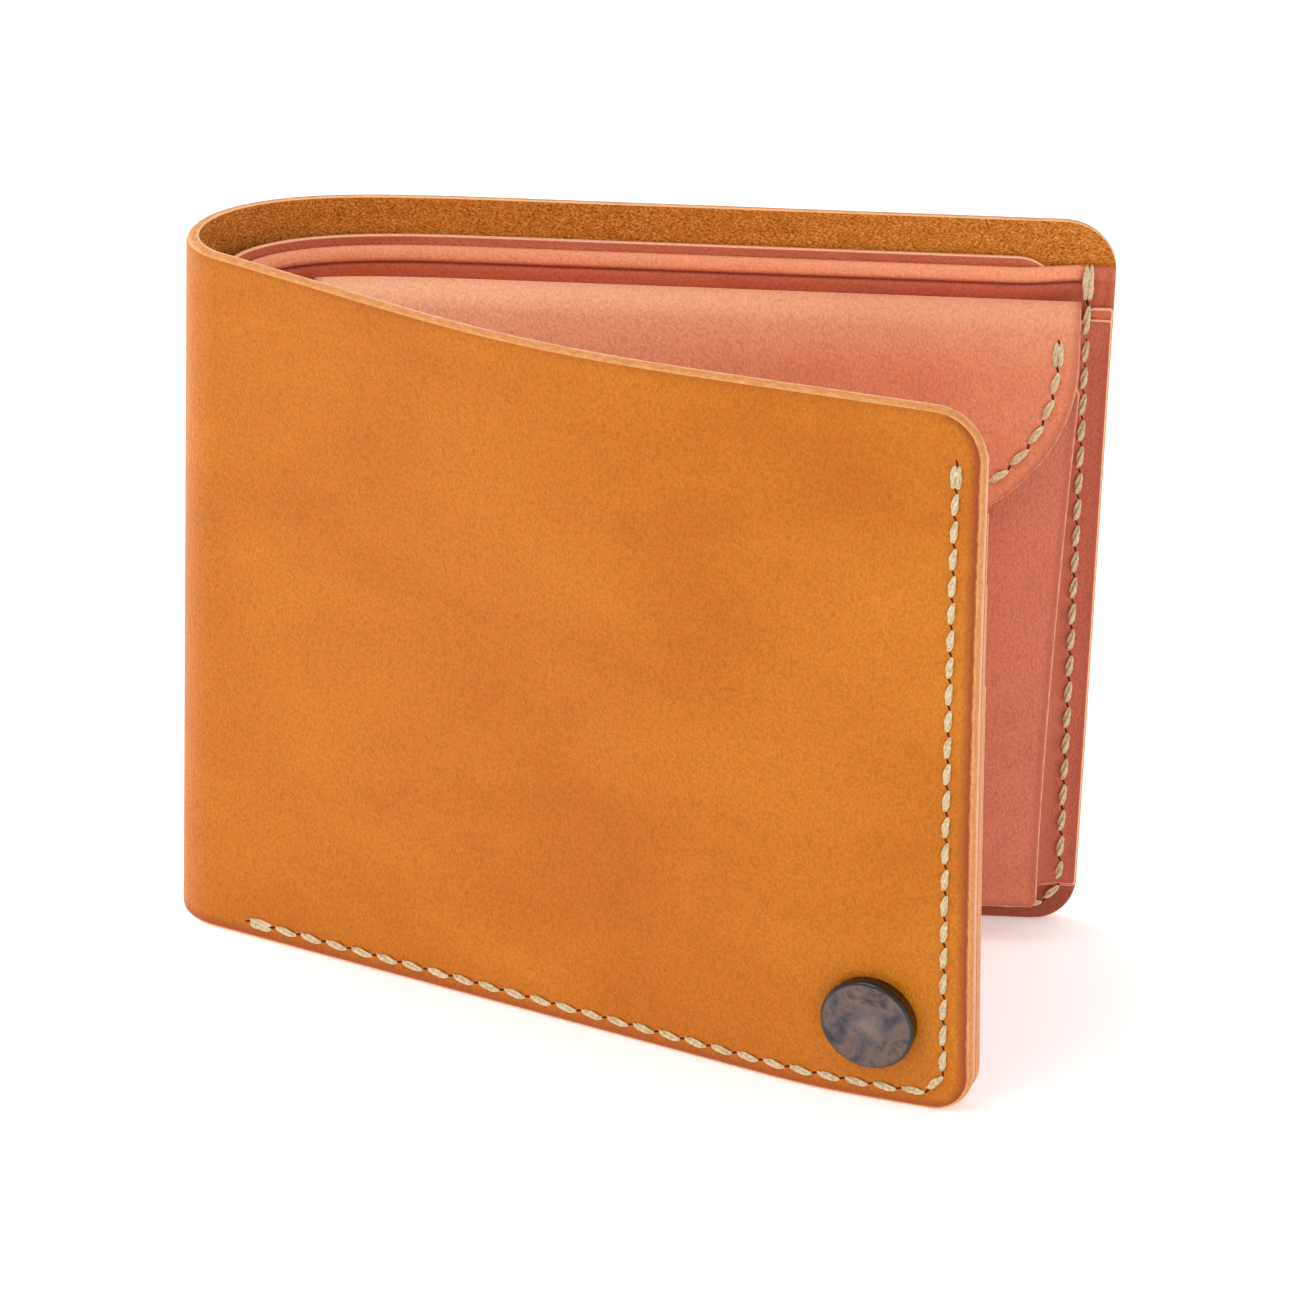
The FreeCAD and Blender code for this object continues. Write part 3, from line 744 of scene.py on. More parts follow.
def pink_face(name, low, middle, high, crease=None, painted_light=()):
    """Undyed natural leather, turned pinkish: fine grain with painted shade and highlight, faint clouding,
    burnished rims. crease is the height of a tooled line with a rolled lip above it; the line is painted dark
    as shade and the lip pale as a highlight. The last argument lists painted light and shade as (axis, start,
    end, share, tone): between two places on the cut, the colour turns to this share of a tone."""
    shader = Shader(name)
    flat = shader.flat()
    height = grain_height(shader, flat, 3800)
    clouds = shader.noise(flat, 34, 4.0, 0.6, 0.3)
    base = shader.ramp(clouds, [(0.3, low), (0.5, middle), (0.72, high)])
    place = shader.parts(flat)
    # Painted highlights and shade, as listed in the last argument.
    for axis, start, end, share, tone in painted_light:
        base = shader.tint(base, place[axis], start, end, share, tone)
    # Painted highlight on the rolled lip above the crease, and painted shade in the crease line.
    if crease:
        inside = shader.between(place["X"], BACK.run - 4.4 * MM, BACK.run - 3.4 * MM, 1.0, 0.15)
        lip = shader.maths("MULTIPLY", shader.between(place["Y"], crease, crease + 0.6 * MM), inside)
        base = shader.mix(lip, base, colour(244, 156, 116))
        from_line = shader.maths("ABSOLUTE", shader.maths("SUBTRACT", place["Y"], crease))
        line = shader.maths("MULTIPLY", shader.between(from_line, 0.06 * MM, 0.30 * MM, 0.85, 0.0), inside)
        base = shader.mix(line, base, colour(116, 40, 26))
    # Painted shade and highlight on the grain.
    base = with_grain_shade(shader, base, height, 0.12)
    base = with_spots(shader, base, shader.mapped(flat, turn=0.7), 260, 0.05, colour(158, 72, 50))
    if not crease:
        rim = shader.between(shader.rim(), 0.3 * MM, 1.2 * MM, 0.48, 0.0)
        base = shader.mix(rim, base, colour(170, 80, 66))
    normal = shader.bump(height, 0.13 * MM, 0.85)
    return shader.finish(base, 0.54, normal, specular=0.28)


def fibrous(name, place, grain, tones, roughness, specular, relief=None):
    """A material of one fine noise, which colours it and roughens it."""
    shader = Shader(name)
    fibres = shader.noise(getattr(shader, place)(), *grain)
    base = shader.ramp(fibres, tones)
    return shader.finish(base, roughness, relief and shader.bump(fibres, *relief), specular)


def pink_flesh():
    """The natural leather's flesh side, paler and matt."""
    tones = [(0.34, (196, 120, 88)), (0.66, (232, 170, 134))]
    return fibrous("natural_flesh", "flat", (1900, 4.0, 0.7), tones, 0.92, 0.15, (0.12 * MM, 0.6))


def thread():
    """Waxed linen thread: pale beige plies with faint darker fibres."""
    tones = [(0.30, (186, 160, 118)), (0.50, (214, 192, 152)), (0.72, (236, 220, 186))]
    return fibrous("waxed_linen", "place", (2400, 3.0, 0.6), tones, 0.62, 0.35, (0.02 * MM, 0.4))


# Painted shade: the dark inside of an awl hole, for the plugs in the stitch holes.
def awl_hole_shade():
    tones = [(0.3, (70, 22, 8)), (0.7, (112, 46, 20))]
    return fibrous("awl_hole_shade", "place", (3000, 2.0), tones, 0.9, 0.1)


def patinated_metal():
    """The concho: dark metal with a mottled grey and rosy patina, painted paler towards its middle as a
    highlight and nearly black on its rolled side as a dark reflection.
    """
    shader = Shader("patinated_metal")
    flat = shader.flat()
    blotches = shader.noise(flat, 240, 4.0, 0.6, 0.5)
    base = shader.ramp(blotches, [(0.34, (58, 64, 72)), (0.45, (92, 88, 91)),
                                  (0.56, (118, 100, 92)), (0.68, (74, 68, 72))])
    fine = shader.noise(flat, 1500, 5.0, 0.7)
    base = shader.tint(base, fine, 0.54, 0.72, 0.55, (50, 50, 56))
    out = shader.add("ShaderNodeVectorMath", {0: shader.mapped(flat, (1, 1, 0))}, operation="LENGTH")
    from_middle = out.outputs["Value"]
    # Painted highlight: the crown paler towards its middle.
    lightened = shader.between(from_middle, 0.0, 0.5 * CONCHO_RADIUS, 0.35, 0.0)
    base = shader.mix(lightened, base, colour(160, 144, 136))
    # Painted dark reflection: the rolled side nearly black.
    side = shader.between(from_middle, CONCHO_RADIUS - 0.5 * MM, CONCHO_RADIUS - 0.2 * MM)
    base = shader.mix(side, base, colour(20, 20, 22))
    gloss = shader.between(side, 0.0, 1.0, 0.32, 0.14)
    normal = shader.bump(fine, 0.02 * MM, 0.35)
    return shader.finish(base, gloss, normal, 0.6, metallic=shader.between(side, 0.0, 1.0, 0.9, 0.15))


def snap_metal():
    """Antiqued brass of the snap fastener, hidden when the flap is down."""
    shader = Shader("antique_brass")
    place = shader.place()
    tarnish = shader.noise(place, 700, 4.0, 0.6)
    base = shader.ramp(tarnish, [(0.35, (112, 86, 52)), (0.55, (178, 144, 92)),
                                 (0.75, (202, 172, 120))])
    gloss = shader.between(tarnish, 0.3, 0.7, 0.45, 0.25)
    normal = shader.bump(shader.noise(place, 3000, 2.0), 0.01 * MM, 0.4)
    return shader.finish(base, gloss, normal, metallic=1.0)


TAN_EDGE = cut_edge("tan_edge", (226, 154, 78), (208, 126, 58), (238, 184, 132),
                    (244, 198, 148), COVER_THICKNESS)
FLESH_SIDE = flesh_side()
TAN = {name: [tan_face(f"tan_face_{name}", half.run), FLESH_SIDE, TAN_EDGE]
       for name, half in (("back", BACK), ("front", FRONT))}
# Tone of the flap's painted highlight.
FLAP_HIGHLIGHT = (255, 190, 148)
NATURAL_FLESH = pink_flesh()
PANEL_FACE = pink_face("natural_panel", (214, 112, 76), (226, 128, 90), (236, 142, 104))
# Painted highlight: the flap turns paler towards its left end and up towards its fold, where more light
# falls.
FLAP_FACE = pink_face("natural_flap", (214, 122, 86), (224, 134, 97), (234, 147, 111),
                      painted_light=(("X", 84 * MM, 16 * MM, 0.85, FLAP_HIGHLIGHT), ("Y", 20 * MM, 30 * MM, 0.5, FLAP_HIGHLIGHT)))
GUSSET_FACE = pink_face("natural_gusset", (186, 92, 66), (198, 104, 76), (208, 116, 88))
# Painted shade: the inner panel turns darker towards its foot, where it lies in shade under the coin pocket.
INNER_FACE = pink_face("natural_inner", (184, 86, 58), (196, 98, 68), (208, 110, 80),
                       crease=INNER_HEIGHT - CREASE_BELOW_TOP,
                       painted_light=(("Y", 7 * MM, 3.5 * MM, 0.6, (118, 54, 36)),))
PANEL_EDGE = cut_edge("natural_edge", (206, 112, 78), (250, 192, 150), (222, 134, 98),
                      (206, 112, 78), INNER_THICKNESS)
STACK_EDGE = cut_edge("burnished_edge", (220, 150, 98), (228, 162, 110), (230, 164, 126),
                      (242, 192, 144), INNER_THICKNESS)
POCKET_FACE = pink_face("natural_pocket", (198, 108, 79), (210, 121, 90), (220, 134, 103))
THREAD = thread()
HOLE_SHADE = awl_hole_shade()
CONCHO_METAL = patinated_metal()
SNAP_METAL = snap_metal()


# ---- cover and linings --------------------------------------------------------------------
SEAMS = {"back": (BACK, BACK_STITCH_EDGE, BACK_STITCH_SPREAD), "front": (FRONT, FRONT_STITCH_EDGE, 0.0)}


def spine_blend(piece, half):
    """Bakes a piece's placement into its mesh, the same for either half. The piece meets the other half's on
    the plane through the spine's apex."""
    if half is BACK:
        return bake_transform(piece)
    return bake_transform(piece)


def columns_from_spine(run):
    """Column places from the spine to the free edge: very fine at the seam, fine near both ends."""
    seam = np.array([0.0, 0.04, 0.09, 0.16, 0.26, 0.4]) * MM
    return np.concatenate([seam[:-1], seam[-1] + graded(run - seam[-1], 1.2, 9, 6, 0.26)])


def groove(distance, width, depth):
    return depth * np.exp(-(distance / width) ** 2)


def seam_distance(from_edge, height, edge, spread):
    """Distance to a stitch line that runs down beside the free edge, round the corner and along
    the foot."""
    base, radius = STITCH_BASE, 3.3 * MM
    u, v = from_edge - edge - spread * np.maximum(height - base - radius, 0), height - base
    beside = np.where(v > radius, np.abs(u), np.abs(v))
    beside = np.where((u > radius) & (v > radius), np.minimum(u, v), beside)
    turning = np.abs(np.hypot(radius - u, radius - v) - radius)
    return np.where((u < radius) & (v < radius), turning, beside)


def sewn_line(half, edge, radius, top, start, spread=0.0):
    """The stitch line of one half as (station, height) points, from its top end to its foot end."""
    base = STITCH_BASE
    down = np.linspace(top, base + radius, 300)
    turn = np.linspace(0, math.pi / 2, 60)[1:]
    along = np.linspace(edge + radius, half.run - start, 400)[1:]
    beside = edge + spread * (down - base - radius)
    from_edge = np.concatenate([beside, edge + radius * (1 - np.cos(turn)), along])
    height = np.concatenate([down, base + radius * (1 - np.sin(turn)), np.full(399, base)])
    return half.run - from_edge, height


def evenly(station, height):
    """Hole places along a line, an even pitch apart, from one end to the other."""
    walked = np.concatenate([[0], np.cumsum(np.hypot(np.diff(station), np.diff(height)))])
    at = np.linspace(0, walked[-1], round(walked[-1] / STITCH_PITCH) + 1)
    return np.interp(at, walked, station), np.interp(at, walked, height)


def outward_normals(half, station, height):
    found = half.lookup(station, height)
    return -np.stack([found[:, 2], found[:, 3], np.zeros(len(found))], -1)


def front_holes():
    return evenly(*sewn_line(FRONT, FRONT_STITCH_EDGE, 3.2 * MM, 84.0 * MM, 12.6 * MM))


def back_holes():
    """The back half's holes: two long stitches over the panels' top edges, then even ones."""
    edge, spread, radius = BACK_STITCH_EDGE, BACK_STITCH_SPREAD, 3.4 * MM
    long_ones = np.array([85.7, 81.0]) * MM
    station, height = evenly(*sewn_line(BACK, edge, radius, 76.7 * MM, 14.0 * MM, spread))
    from_edge = edge + spread * (long_ones - STITCH_BASE - radius)
    return np.concatenate([BACK.run - from_edge, station]), np.concatenate([long_ones, height])


def make_cover():
    """The cover: one piece of thick leather round the spine, as two meshes that meet at its apex."""
    for name, (half, edge, spread) in SEAMS.items():
        def relief(station, height, side):
            distance = seam_distance(half.run - station, height, edge, spread)
            sewn = smooth((station - 11 * MM) / (2 * MM)) * smooth((86 * MM - height) / MM)
            return groove(distance, 0.55 * MM, 0.16 * MM) * sewn * (side == 0)

        outline = Outline(0.0, half.run, 0.0, COVER_HEIGHT, (0, FOOT_CORNER, 0, TOP_CORNER),
                          columns_from_spine(half.run), graded(COVER_HEIGHT, 1.3, 4.5, 2, 0.25), seam=True)
        nodes = [f"outer_cover_{name}"] + ["outer_cover_spine"] * (half is BACK)
        piece = leather_piece(f"cover_{name}", outline, half.point, COVER_THICKNESS, TAN[name],
                              (0.85 * MM, 0.14 * MM), relief, nodes)
        spine_blend(piece, half)


def make_lining(layer, title, thickness, top, short, corners, faces, edges, radii=None):
    """A lining leather that goes round the spine inside the cover, in two meshes as the cover is."""
    foot = 0.25 * MM
    for name, (half, *_) in SEAMS.items():
        def place(station, height, depth):
            return half.point(station, height, layer_depth(half, layer, station, height) + depth)

        def relief(station, height, side):
            from_edge, below = half.run - station, top - height
            line = groove(below - CREASE_BELOW_TOP, CREASE_WIDTH, CREASE_DEPTH)
            beside = groove(from_edge - CREASE_FROM_EDGE, CREASE_WIDTH, CREASE_DEPTH)
            inside = smooth((from_edge - 3.4 * MM) / MM)
            lip = 0.62 * MM * np.clip(1 - below / (1.45 * MM), 0, 1) ** 2 * inside
            creased = np.maximum(line, beside * (height > 6 * MM)) + lip
            return creased * (side == 1 and layer == "inner")

        end = half.run - short
        outline = Outline(0.0, end, foot, top, (0, corners[0], 0, corners[1]), columns_from_spine(end),
                          graded(top - foot, 1.3, 3, 3, 0.25), seam=True)
        nodes = [f"{title}_{name}"] + [f"{title}_spine"] * (half is BACK)
        piece = leather_piece(nodes[0], outline, place, thickness, [*faces, edges[name]],
                              radii, relief, nodes)
        spine_blend(piece, half)


def make_card_slots():
    """Three card pockets, one over another, on the front half's inside."""
    foot, end = 0.1 * MM, FRONT.run - 0.05 * MM
    for layer, top in CARD_TOPS.items():
        def place(station, height, depth):
            return FRONT.point(station, height, layer_depth(FRONT, layer, station, height) + depth)

        def relief(station, height, side):
            return groove(top - CREASE_BELOW_TOP - height, CREASE_WIDTH, 0.08 * MM) * (side == 1)

        outline = Outline(CARD_START, end, foot, top, (1.5 * MM, FOOT_CORNER, 1.2 * MM, 0.5 * MM),
                          graded(end - CARD_START, 1.5, 1, 4, 0.3), graded(top - foot, 1.5, 2, 3, 0.25))
        piece = leather_piece(layer, outline, place, CARD_PLY, [NATURAL_FLESH, PANEL_FACE, STACK_EDGE],
                              (0.08 * MM, 0.2 * MM), relief)
        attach(piece, "front_half")


# ---- coin pocket --------------------------------------------------------------------------
def across_back(x, height, depth):
    return BACK.point(BACK.station_at(x, height), height, depth)


def pocket_flare(height):
    """How far the pocket's sides spread towards its mouth."""
    return POCKET_FLARE * np.clip((height - 10 * MM) / (62 * MM), 0, 1) ** 1.5


def pocket_left(height):
    return POCKET_LEFT - pocket_flare(height)


def pocket_right(height):
    return POCKET_RIGHT + pocket_flare(height)


def pocket_depth(x, height):
    """Depth of the pocket front's outer face: full at its foot, drawn in towards its mouth and a
    little more at the mouth's corners, where its sides are sewn down."""
    up = smooth((height - 15 * MM) / (57 * MM))
    corner = np.maximum(smooth(1 - (pocket_right(height) - x) / (13 * MM)),
                        smooth(1 - (x - pocket_left(height)) / (13 * MM)))
    return (10.0 - 1.8 * up - 0.8 * up * corner) * MM


def make_pocket():
    def back_place(x, height, depth):
        station = BACK.station_at(x, height)
        return BACK.point(station, height, layer_depth(BACK, "coin_back", station, height) + depth)

    def front_place(x, height, depth):
        return across_back(x, height, pocket_depth(x, height) - depth)

    def under_flap(height):
        return 12.5 * MM + 92.2 * MM * smooth((height - 76.5 * MM) / (0.8 * MM))

    outline = Outline(under_flap, lambda height: back_edge(height) - 0.15 * MM, FLANGE_FOOT, POCKET_PANEL_TOP,
                      (1.5 * MM, 0.4 * MM, 1.2 * MM, 0.4 * MM), graded(94.25 * MM, 1.6, 1, 5, 0.3),
                      graded(POCKET_PANEL_TOP - FLANGE_FOOT, 1.6, 2, 2, 0.3))
    panel = leather_piece("coin_back_panel", outline, back_place, POCKET_PLY,
                          [NATURAL_FLESH, PANEL_FACE, PANEL_EDGE])
    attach(panel, "back_half")

    outline = Outline(pocket_left, pocket_right, POCKET_FLOOR, POCKET_TOP,
                      (0.9 * MM, 0.9 * MM, 1.5 * MM, 1.5 * MM),
                      graded(88 * MM, 1.2, 2, 4, 0.25), graded(66 * MM, 1.2, 2, 2, 0.25))
    front = leather_piece("coin_pocket_front", outline, front_place, 0.9 * MM,
                          [POCKET_FACE, NATURAL_FLESH, PANEL_EDGE])
    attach(front, "coin_pocket")


def walk(nodes, share):
    """Points and unit normals along a smooth line through nodes, at shares of its way, 0 to 1.
    nodes is a list of (x, depth) pairs; the line is a Catmull-Rom spline."""
    nodes = [np.stack(np.broadcast_arrays(*node, share)[:2], -1) for node in nodes]
    nodes = np.stack([2 * nodes[0] - nodes[1]] + nodes + [2 * nodes[-1] - nodes[-2]])
    at = np.clip(share * (len(nodes) - 3), 0, len(nodes) - 3 - 1e-6)
    span = at.astype(int)
    t = (at - span)[..., None]
    p0, p1, p2, p3 = (nodes[span + offset, np.arange(len(share))] for offset in range(4))
    bend, twist = 2 * p0 - 5 * p1 + 4 * p2 - p3, 3 * p1 - p0 - 3 * p2 + p3
    point = 0.5 * (2 * p1 + (p2 - p0) * t + bend * t ** 2 + twist * t ** 3)
    slope = 0.5 * ((p2 - p0) + 2 * bend * t + 3 * twist * t ** 2)
    slope = slope / np.linalg.norm(slope, axis=-1, keepdims=True)
    return point, np.stack([slope[..., 1], -slope[..., 0]], -1)


def make_gussets():
    """The pocket's folded sides and floor."""
    width, floor_width = 17 * MM, 10 * MM

    def flange_right(height):
        return back_edge(height) - 0.2 * MM

    sides = (("right", pocket_right, -1, flange_right), ("left", pocket_left, 1, straight_side(LEFT_FLANGE)))
    for name, side_at, sign, flange_at in sides:
        def place(across, height, depth):
            side, flange = side_at(height), flange_at(height)
            outer = pocket_depth(side, height)
            sewn = layer_depth(BACK, "flange", BACK.station_at(flange, height), height) + GUSSET_PLY / 2
            nodes = [
                (side + sign * 2.4 * MM, outer - 1.25 * MM),
                (side + sign * 0.55 * MM, outer - 1.45 * MM),
                (side + sign * 5.6 * MM, (outer + 4.8 * MM) / 2),
                (side + sign * 0.9 * MM, 5.4 * MM),
                (flange + sign * 3.4 * MM, sewn + 0.12 * MM),
                (flange, sewn),
            ]
            point, normal = walk(nodes, across / width)
            moved = point + normal * ((depth - GUSSET_PLY / 2) * sign)[:, None]
            return across_back(moved[:, 0], height, moved[:, 1])

        outline = Outline(0.0, width, FLANGE_FOOT + 0.6 * MM, FLANGE_TOP, (MM, 0.4 * MM, MM, 0.4 * MM),
                          graded(width, 0.4, 1, 1, 0.25), graded(FLANGE_TOP - FLANGE_FOOT, 1.6, 1, 1, 0.3))
        gusset = leather_piece(f"coin_gusset_{name}", outline, place, GUSSET_PLY,
                               [NATURAL_FLESH, GUSSET_FACE, PANEL_EDGE])
        start = ORIGIN + np.array([side_at(40 * MM), 0, 40 * MM]) - np.array([0, 5.0 * MM, 0])
        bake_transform(gusset)

    def floor_place(x, across, depth):
        outer = pocket_depth(x, POCKET_FLOOR)
        nodes = [(outer - 1.2 * MM, 9.5 * MM), (outer - 1.3 * MM, 6.6 * MM), (7.4 * MM, 5.4 * MM),
                 (5.3 * MM, 6.2 * MM), (5.2 * MM, 9.5 * MM)]
        point, normal = walk(nodes, across / floor_width)
        moved = point + normal * (depth - GUSSET_PLY / 2)[:, None]
        return across_back(x, moved[:, 1], moved[:, 0])

    outline = Outline(19.5 * MM, 99.5 * MM, 0.0, floor_width, (MM, MM, MM, MM),
                      graded(80 * MM, 1.6, 1, 1, 0.4), graded(floor_width, 0.4, 1, 1, 0.3))
    base = leather_piece("coin_gusset_base", outline, floor_place, GUSSET_PLY,
                         [PANEL_FACE, NATURAL_FLESH, PANEL_EDGE])
    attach(base, "back_half")


# ---- flap ---------------------------------------------------------------------------------
FRONT_TURN = 3.6 * MM                # outside radii of the fold's two turns
ROOT_TURN = 1.3 * MM
ROOT_TAIL = 3.0 * MM
FLAP_TOP_LEAN = math.radians(17)     # the flap's lean where it starts to turn over
FLAP_INSET = 2.5 * MM                # its stitch line, from its edge
FLAP_MIDDLE = (FLAP_LEFT + FLAP_RIGHT) / 2


class FlapProfile:
    """The flap's outer face from its lower edge up, over the fold and down to its root, walked by
    length; it gives depth, height and the outward normal."""

    def __init__(self):
        upright = math.pi / 2
        lower, upper = 0.62 * FLAP_DROP, 0.24 * FLAP_DROP
        front_turn = (upright - FLAP_TOP_LEAN) * FRONT_TURN
        angles = [upright + FLAP_LEAN] * 2 + [upright + FLAP_TOP_LEAN, math.pi, math.pi] + [3 * upright] * 2
        lengths = np.array([lower, upper, front_turn, 0.0, upright * ROOT_TURN, ROOT_TAIL])
        depth, _, _ = self.walk(lengths, angles)
        lengths[3] = max(FLAP_FRONT_DEPTH + depth[-1] - FLAP_ROOT_DEPTH, 0.05 * MM)
        self.depth, self.height, self.walked = self.walk(lengths, angles)
        self.length = float(self.walked[-1])
        self.seam = float(lengths[:3].sum() + lengths[3] / 2)
        self.angle = np.interp(self.walked, np.cumsum([0, *lengths]), angles)
        self.depth = self.depth + FLAP_FRONT_DEPTH
        self.height = self.height - self.height.max() + FLAP_TOP

    def walk(self, lengths, angles):
        """Depth and height, from the lower edge, along a line that turns through these angles."""
        walked = np.linspace(0, lengths.sum(), 1500)
        angle = np.interp(walked, np.cumsum([0, *lengths]), angles)
        return np.cumsum(np.cos(angle)) * walked[1], np.cumsum(np.sin(angle)) * walked[1], walked

    def place(self, x, walked, inwards):
        angle = np.interp(walked, self.walked, self.angle)
        depth = np.interp(walked, self.walked, self.depth) - inwards * np.sin(angle)
        height = np.interp(walked, self.walked, self.height) + inwards * np.cos(angle)
        return across_back(x, height, depth)


FLAP = FlapProfile()


def make_flap():
    """The flap's leather and its lining, each in two meshes that meet in the middle of the fold."""
    layers = (("flap_leather", 0.0, FLAP_PLY, [FLAP_FACE, NATURAL_FLESH, PANEL_EDGE]),
              ("flap_lining", FLAP_PLY + 0.03 * MM, LINING_PLY, [NATURAL_FLESH, PANEL_FACE, PANEL_EDGE]))
    columns = graded(FLAP_RIGHT - FLAP_LEFT, 1.3, 3, 3, 0.3)
    hanging = Outline(FLAP_LEFT, FLAP_RIGHT, 0.0, FLAP.seam, (FLAP_CORNER, FLAP_CORNER, 0, 0), columns,
                      graded(FLAP.seam, 1.2, 1, 5, 0.25))
    rear = Outline(FLAP_LEFT, FLAP_RIGHT, FLAP.seam, FLAP.length, (0, 0, 1.2 * MM, 1.2 * MM), columns,
                   graded(FLAP.length - FLAP.seam, 0.8, 4, 1, 0.25))
    for title, start, thickness, materials in layers:
        def place(x, walked, depth):
            return FLAP.place(x, walked, start + depth)

        def relief(x, walked, side):
            return groove(flap_line_distance(x, walked), 0.55 * MM, 0.14 * MM) * (side == 0 and start == 0)

        piece = leather_piece(title, hanging, place, thickness, materials, None, relief)
        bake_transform(piece)
        piece = leather_piece(f"{title}_fold", rear, place, thickness, materials)
        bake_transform(piece)


def flap_line():
    """The flap's stitch line, as (x, walked) from one upper end round both corners to the other."""
    radius = FLAP_CORNER - FLAP_INSET
    down = np.linspace(FLAP_DROP - 5.0 * MM, FLAP_CORNER, 60)
    turn = np.linspace(0, math.pi / 2, 120)[1:]
    half_x = np.concatenate([np.full(60, FLAP_RIGHT - FLAP_INSET),
                             FLAP_RIGHT - FLAP_CORNER + radius * np.cos(turn)])
    half_w = np.concatenate([down, FLAP_CORNER - radius * np.sin(turn)])
    flat = np.linspace(half_x[-1], 2 * FLAP_MIDDLE - half_x[-1], 200)[1:-1]
    x = np.concatenate([half_x, flat, 2 * FLAP_MIDDLE - half_x[::-1]])
    return x, np.concatenate([half_w, np.full(198, FLAP_INSET), half_w[::-1]])


def flap_line_distance(x, walked):
    u = np.abs(x - FLAP_MIDDLE) - ((FLAP_RIGHT - FLAP_LEFT) / 2 - FLAP_CORNER)
    v = FLAP_CORNER - walked
    ring = np.abs(np.hypot(np.maximum(u, 0), np.maximum(v, 0)) - (FLAP_CORNER - FLAP_INSET))
    return np.where(walked > FLAP_DROP - 4.8 * MM, 1.0, ring)


# ---- stitching and fasteners --------------------------------------------------------------
def back_top_depth(station, height):
    """Depth of the uppermost leather under the back half's stitches."""
    flange, panel, inner = (layer_depth(BACK, layer, station, height) + ply for layer, ply in (
        ("flange", GUSSET_PLY), ("coin_back", POCKET_PLY), ("inner", INNER_THICKNESS)))
    edge_part = station > BACK.run - 8 * MM
    top = np.where(edge_part & (height < FLANGE_TOP) & (height > FLANGE_FOOT + 1 * MM), flange, inner)
    return np.where((height >= FLANGE_TOP) & (height < POCKET_PANEL_TOP), panel, top)


def front_top_depth(station, height):
    depth = layer_depth(FRONT, "inner", station, height) + INNER_THICKNESS
    for layer, top in CARD_TOPS.items():
        depth = np.where(height < top, layer_depth(FRONT, layer, station, height) + CARD_PLY, depth)
    return depth


def make_stitching():
    for name, half, line, top_depth, body in (
        ("front_stitching", FRONT, front_holes(), front_top_depth, "front_half"),
        ("back_stitching", BACK, back_holes(), back_top_depth, "back_half"),
    ):
        station, height = line
        outside = half.point(station, height, 0.12 * MM)
        beside = np.maximum(top_depth(station, height - 2.2 * MM), top_depth(station, height + 2.2 * MM))
        depth = np.maximum(top_depth(station, height) - 0.02 * MM, beside - 0.45 * MM)
        inside = half.point(station, height, depth)
        ends = (0, len(station) - 2)
        normals = outward_normals(half, station, height)
        stitching(name, [(outside, normals, ends, 0), (inside, -normals, ends, int(half is BACK))], body)

    x, walked = evenly(*flap_line())
    holes, behind = (FLAP.place(x, walked, np.full(len(x), inwards))
                     for inwards in (0.07 * MM, FLAP_PLY + LINING_PLY + 0.02 * MM))
    normals = np.tile([0.0, -1.0, 0.0], (len(x), 1))
    ends = (0, len(x) - 2)
    stitching("flap_stitching", [(holes, normals, ends, 0), (behind, -normals, ends, 0)], "coin_flap")


def hammered(x, y, height):
    """The concho's crown stands higher towards its upper right and has shallow dents."""
    if height < 1.0 * MM:
        return 0 * x
    dents = np.random.default_rng(7)
    rise = 0.11 * (0.5 * x + 0.87 * y)
    for _ in range(26):
        angle, reach = dents.uniform(0, 2 * math.pi), CONCHO_RADIUS * math.sqrt(dents.uniform(0, 0.72))
        size = dents.uniform(0.7, 1.3) * MM
        away = np.hypot(x - reach * math.cos(angle), y - reach * math.sin(angle))
        rise = rise - dents.uniform(0.02, 0.07) * MM * np.exp(-(away / size) ** 2)
    return rise


def disc(radius, low, top, soft=0.12 * MM):
    """Profile of a disc from its lower middle out, up and back, with softened rims."""
    bore, nearly, third = 0.1 * MM, radius - soft * 0.3, soft * 0.3
    return [(bore, low), (radius - soft, low), (nearly, low + third), (radius, low + soft),
            (radius, top - soft), (nearly, top - third), (radius - soft, top), (bore, top)]


def make_concho():
    station, height = np.array([FRONT.run - CONCHO_FROM_EDGE]), np.array([CONCHO_HEIGHT])
    seat = FRONT.point(station, height, np.array([0.0]))[0]
    axis = outward_normals(FRONT, station, height)[0]
    through = float(front_top_depth(station, height)[0])
    rim, rise = 1.35 * MM, 0.6 * MM
    foot = [(0.1 * MM, -0.05 * MM), (CONCHO_RADIUS - 0.5 * MM, -0.05 * MM),
            (CONCHO_RADIUS - 0.1 * MM, 0.08 * MM)]
    shoulder = [(CONCHO_RADIUS - 0.9 * MM * (1 - math.cos(a)), rim + rise * 0.85 * math.sin(a))
                for a in np.linspace(0, math.pi / 2, 10)]
    crown = [(CONCHO_RADIUS * share, rim + rise * (1 - 0.15 * (share / 0.85) ** 2))
             for share in np.linspace(0.82, 0.01, 22)]
    for name, profile, relief in (
        ("concho_cap", foot + shoulder + crown, hammered),
        ("concho_post", disc(1.6 * MM, -through - 0.3 * MM, 0.1 * MM), None),
        ("concho_washer", disc(3.5 * MM, -through - 0.4 * MM, -through + 0.02 * MM), None),
    ):
        lathe(name, profile, seat, axis, "front_half", CONCHO_METAL, relief, 96)


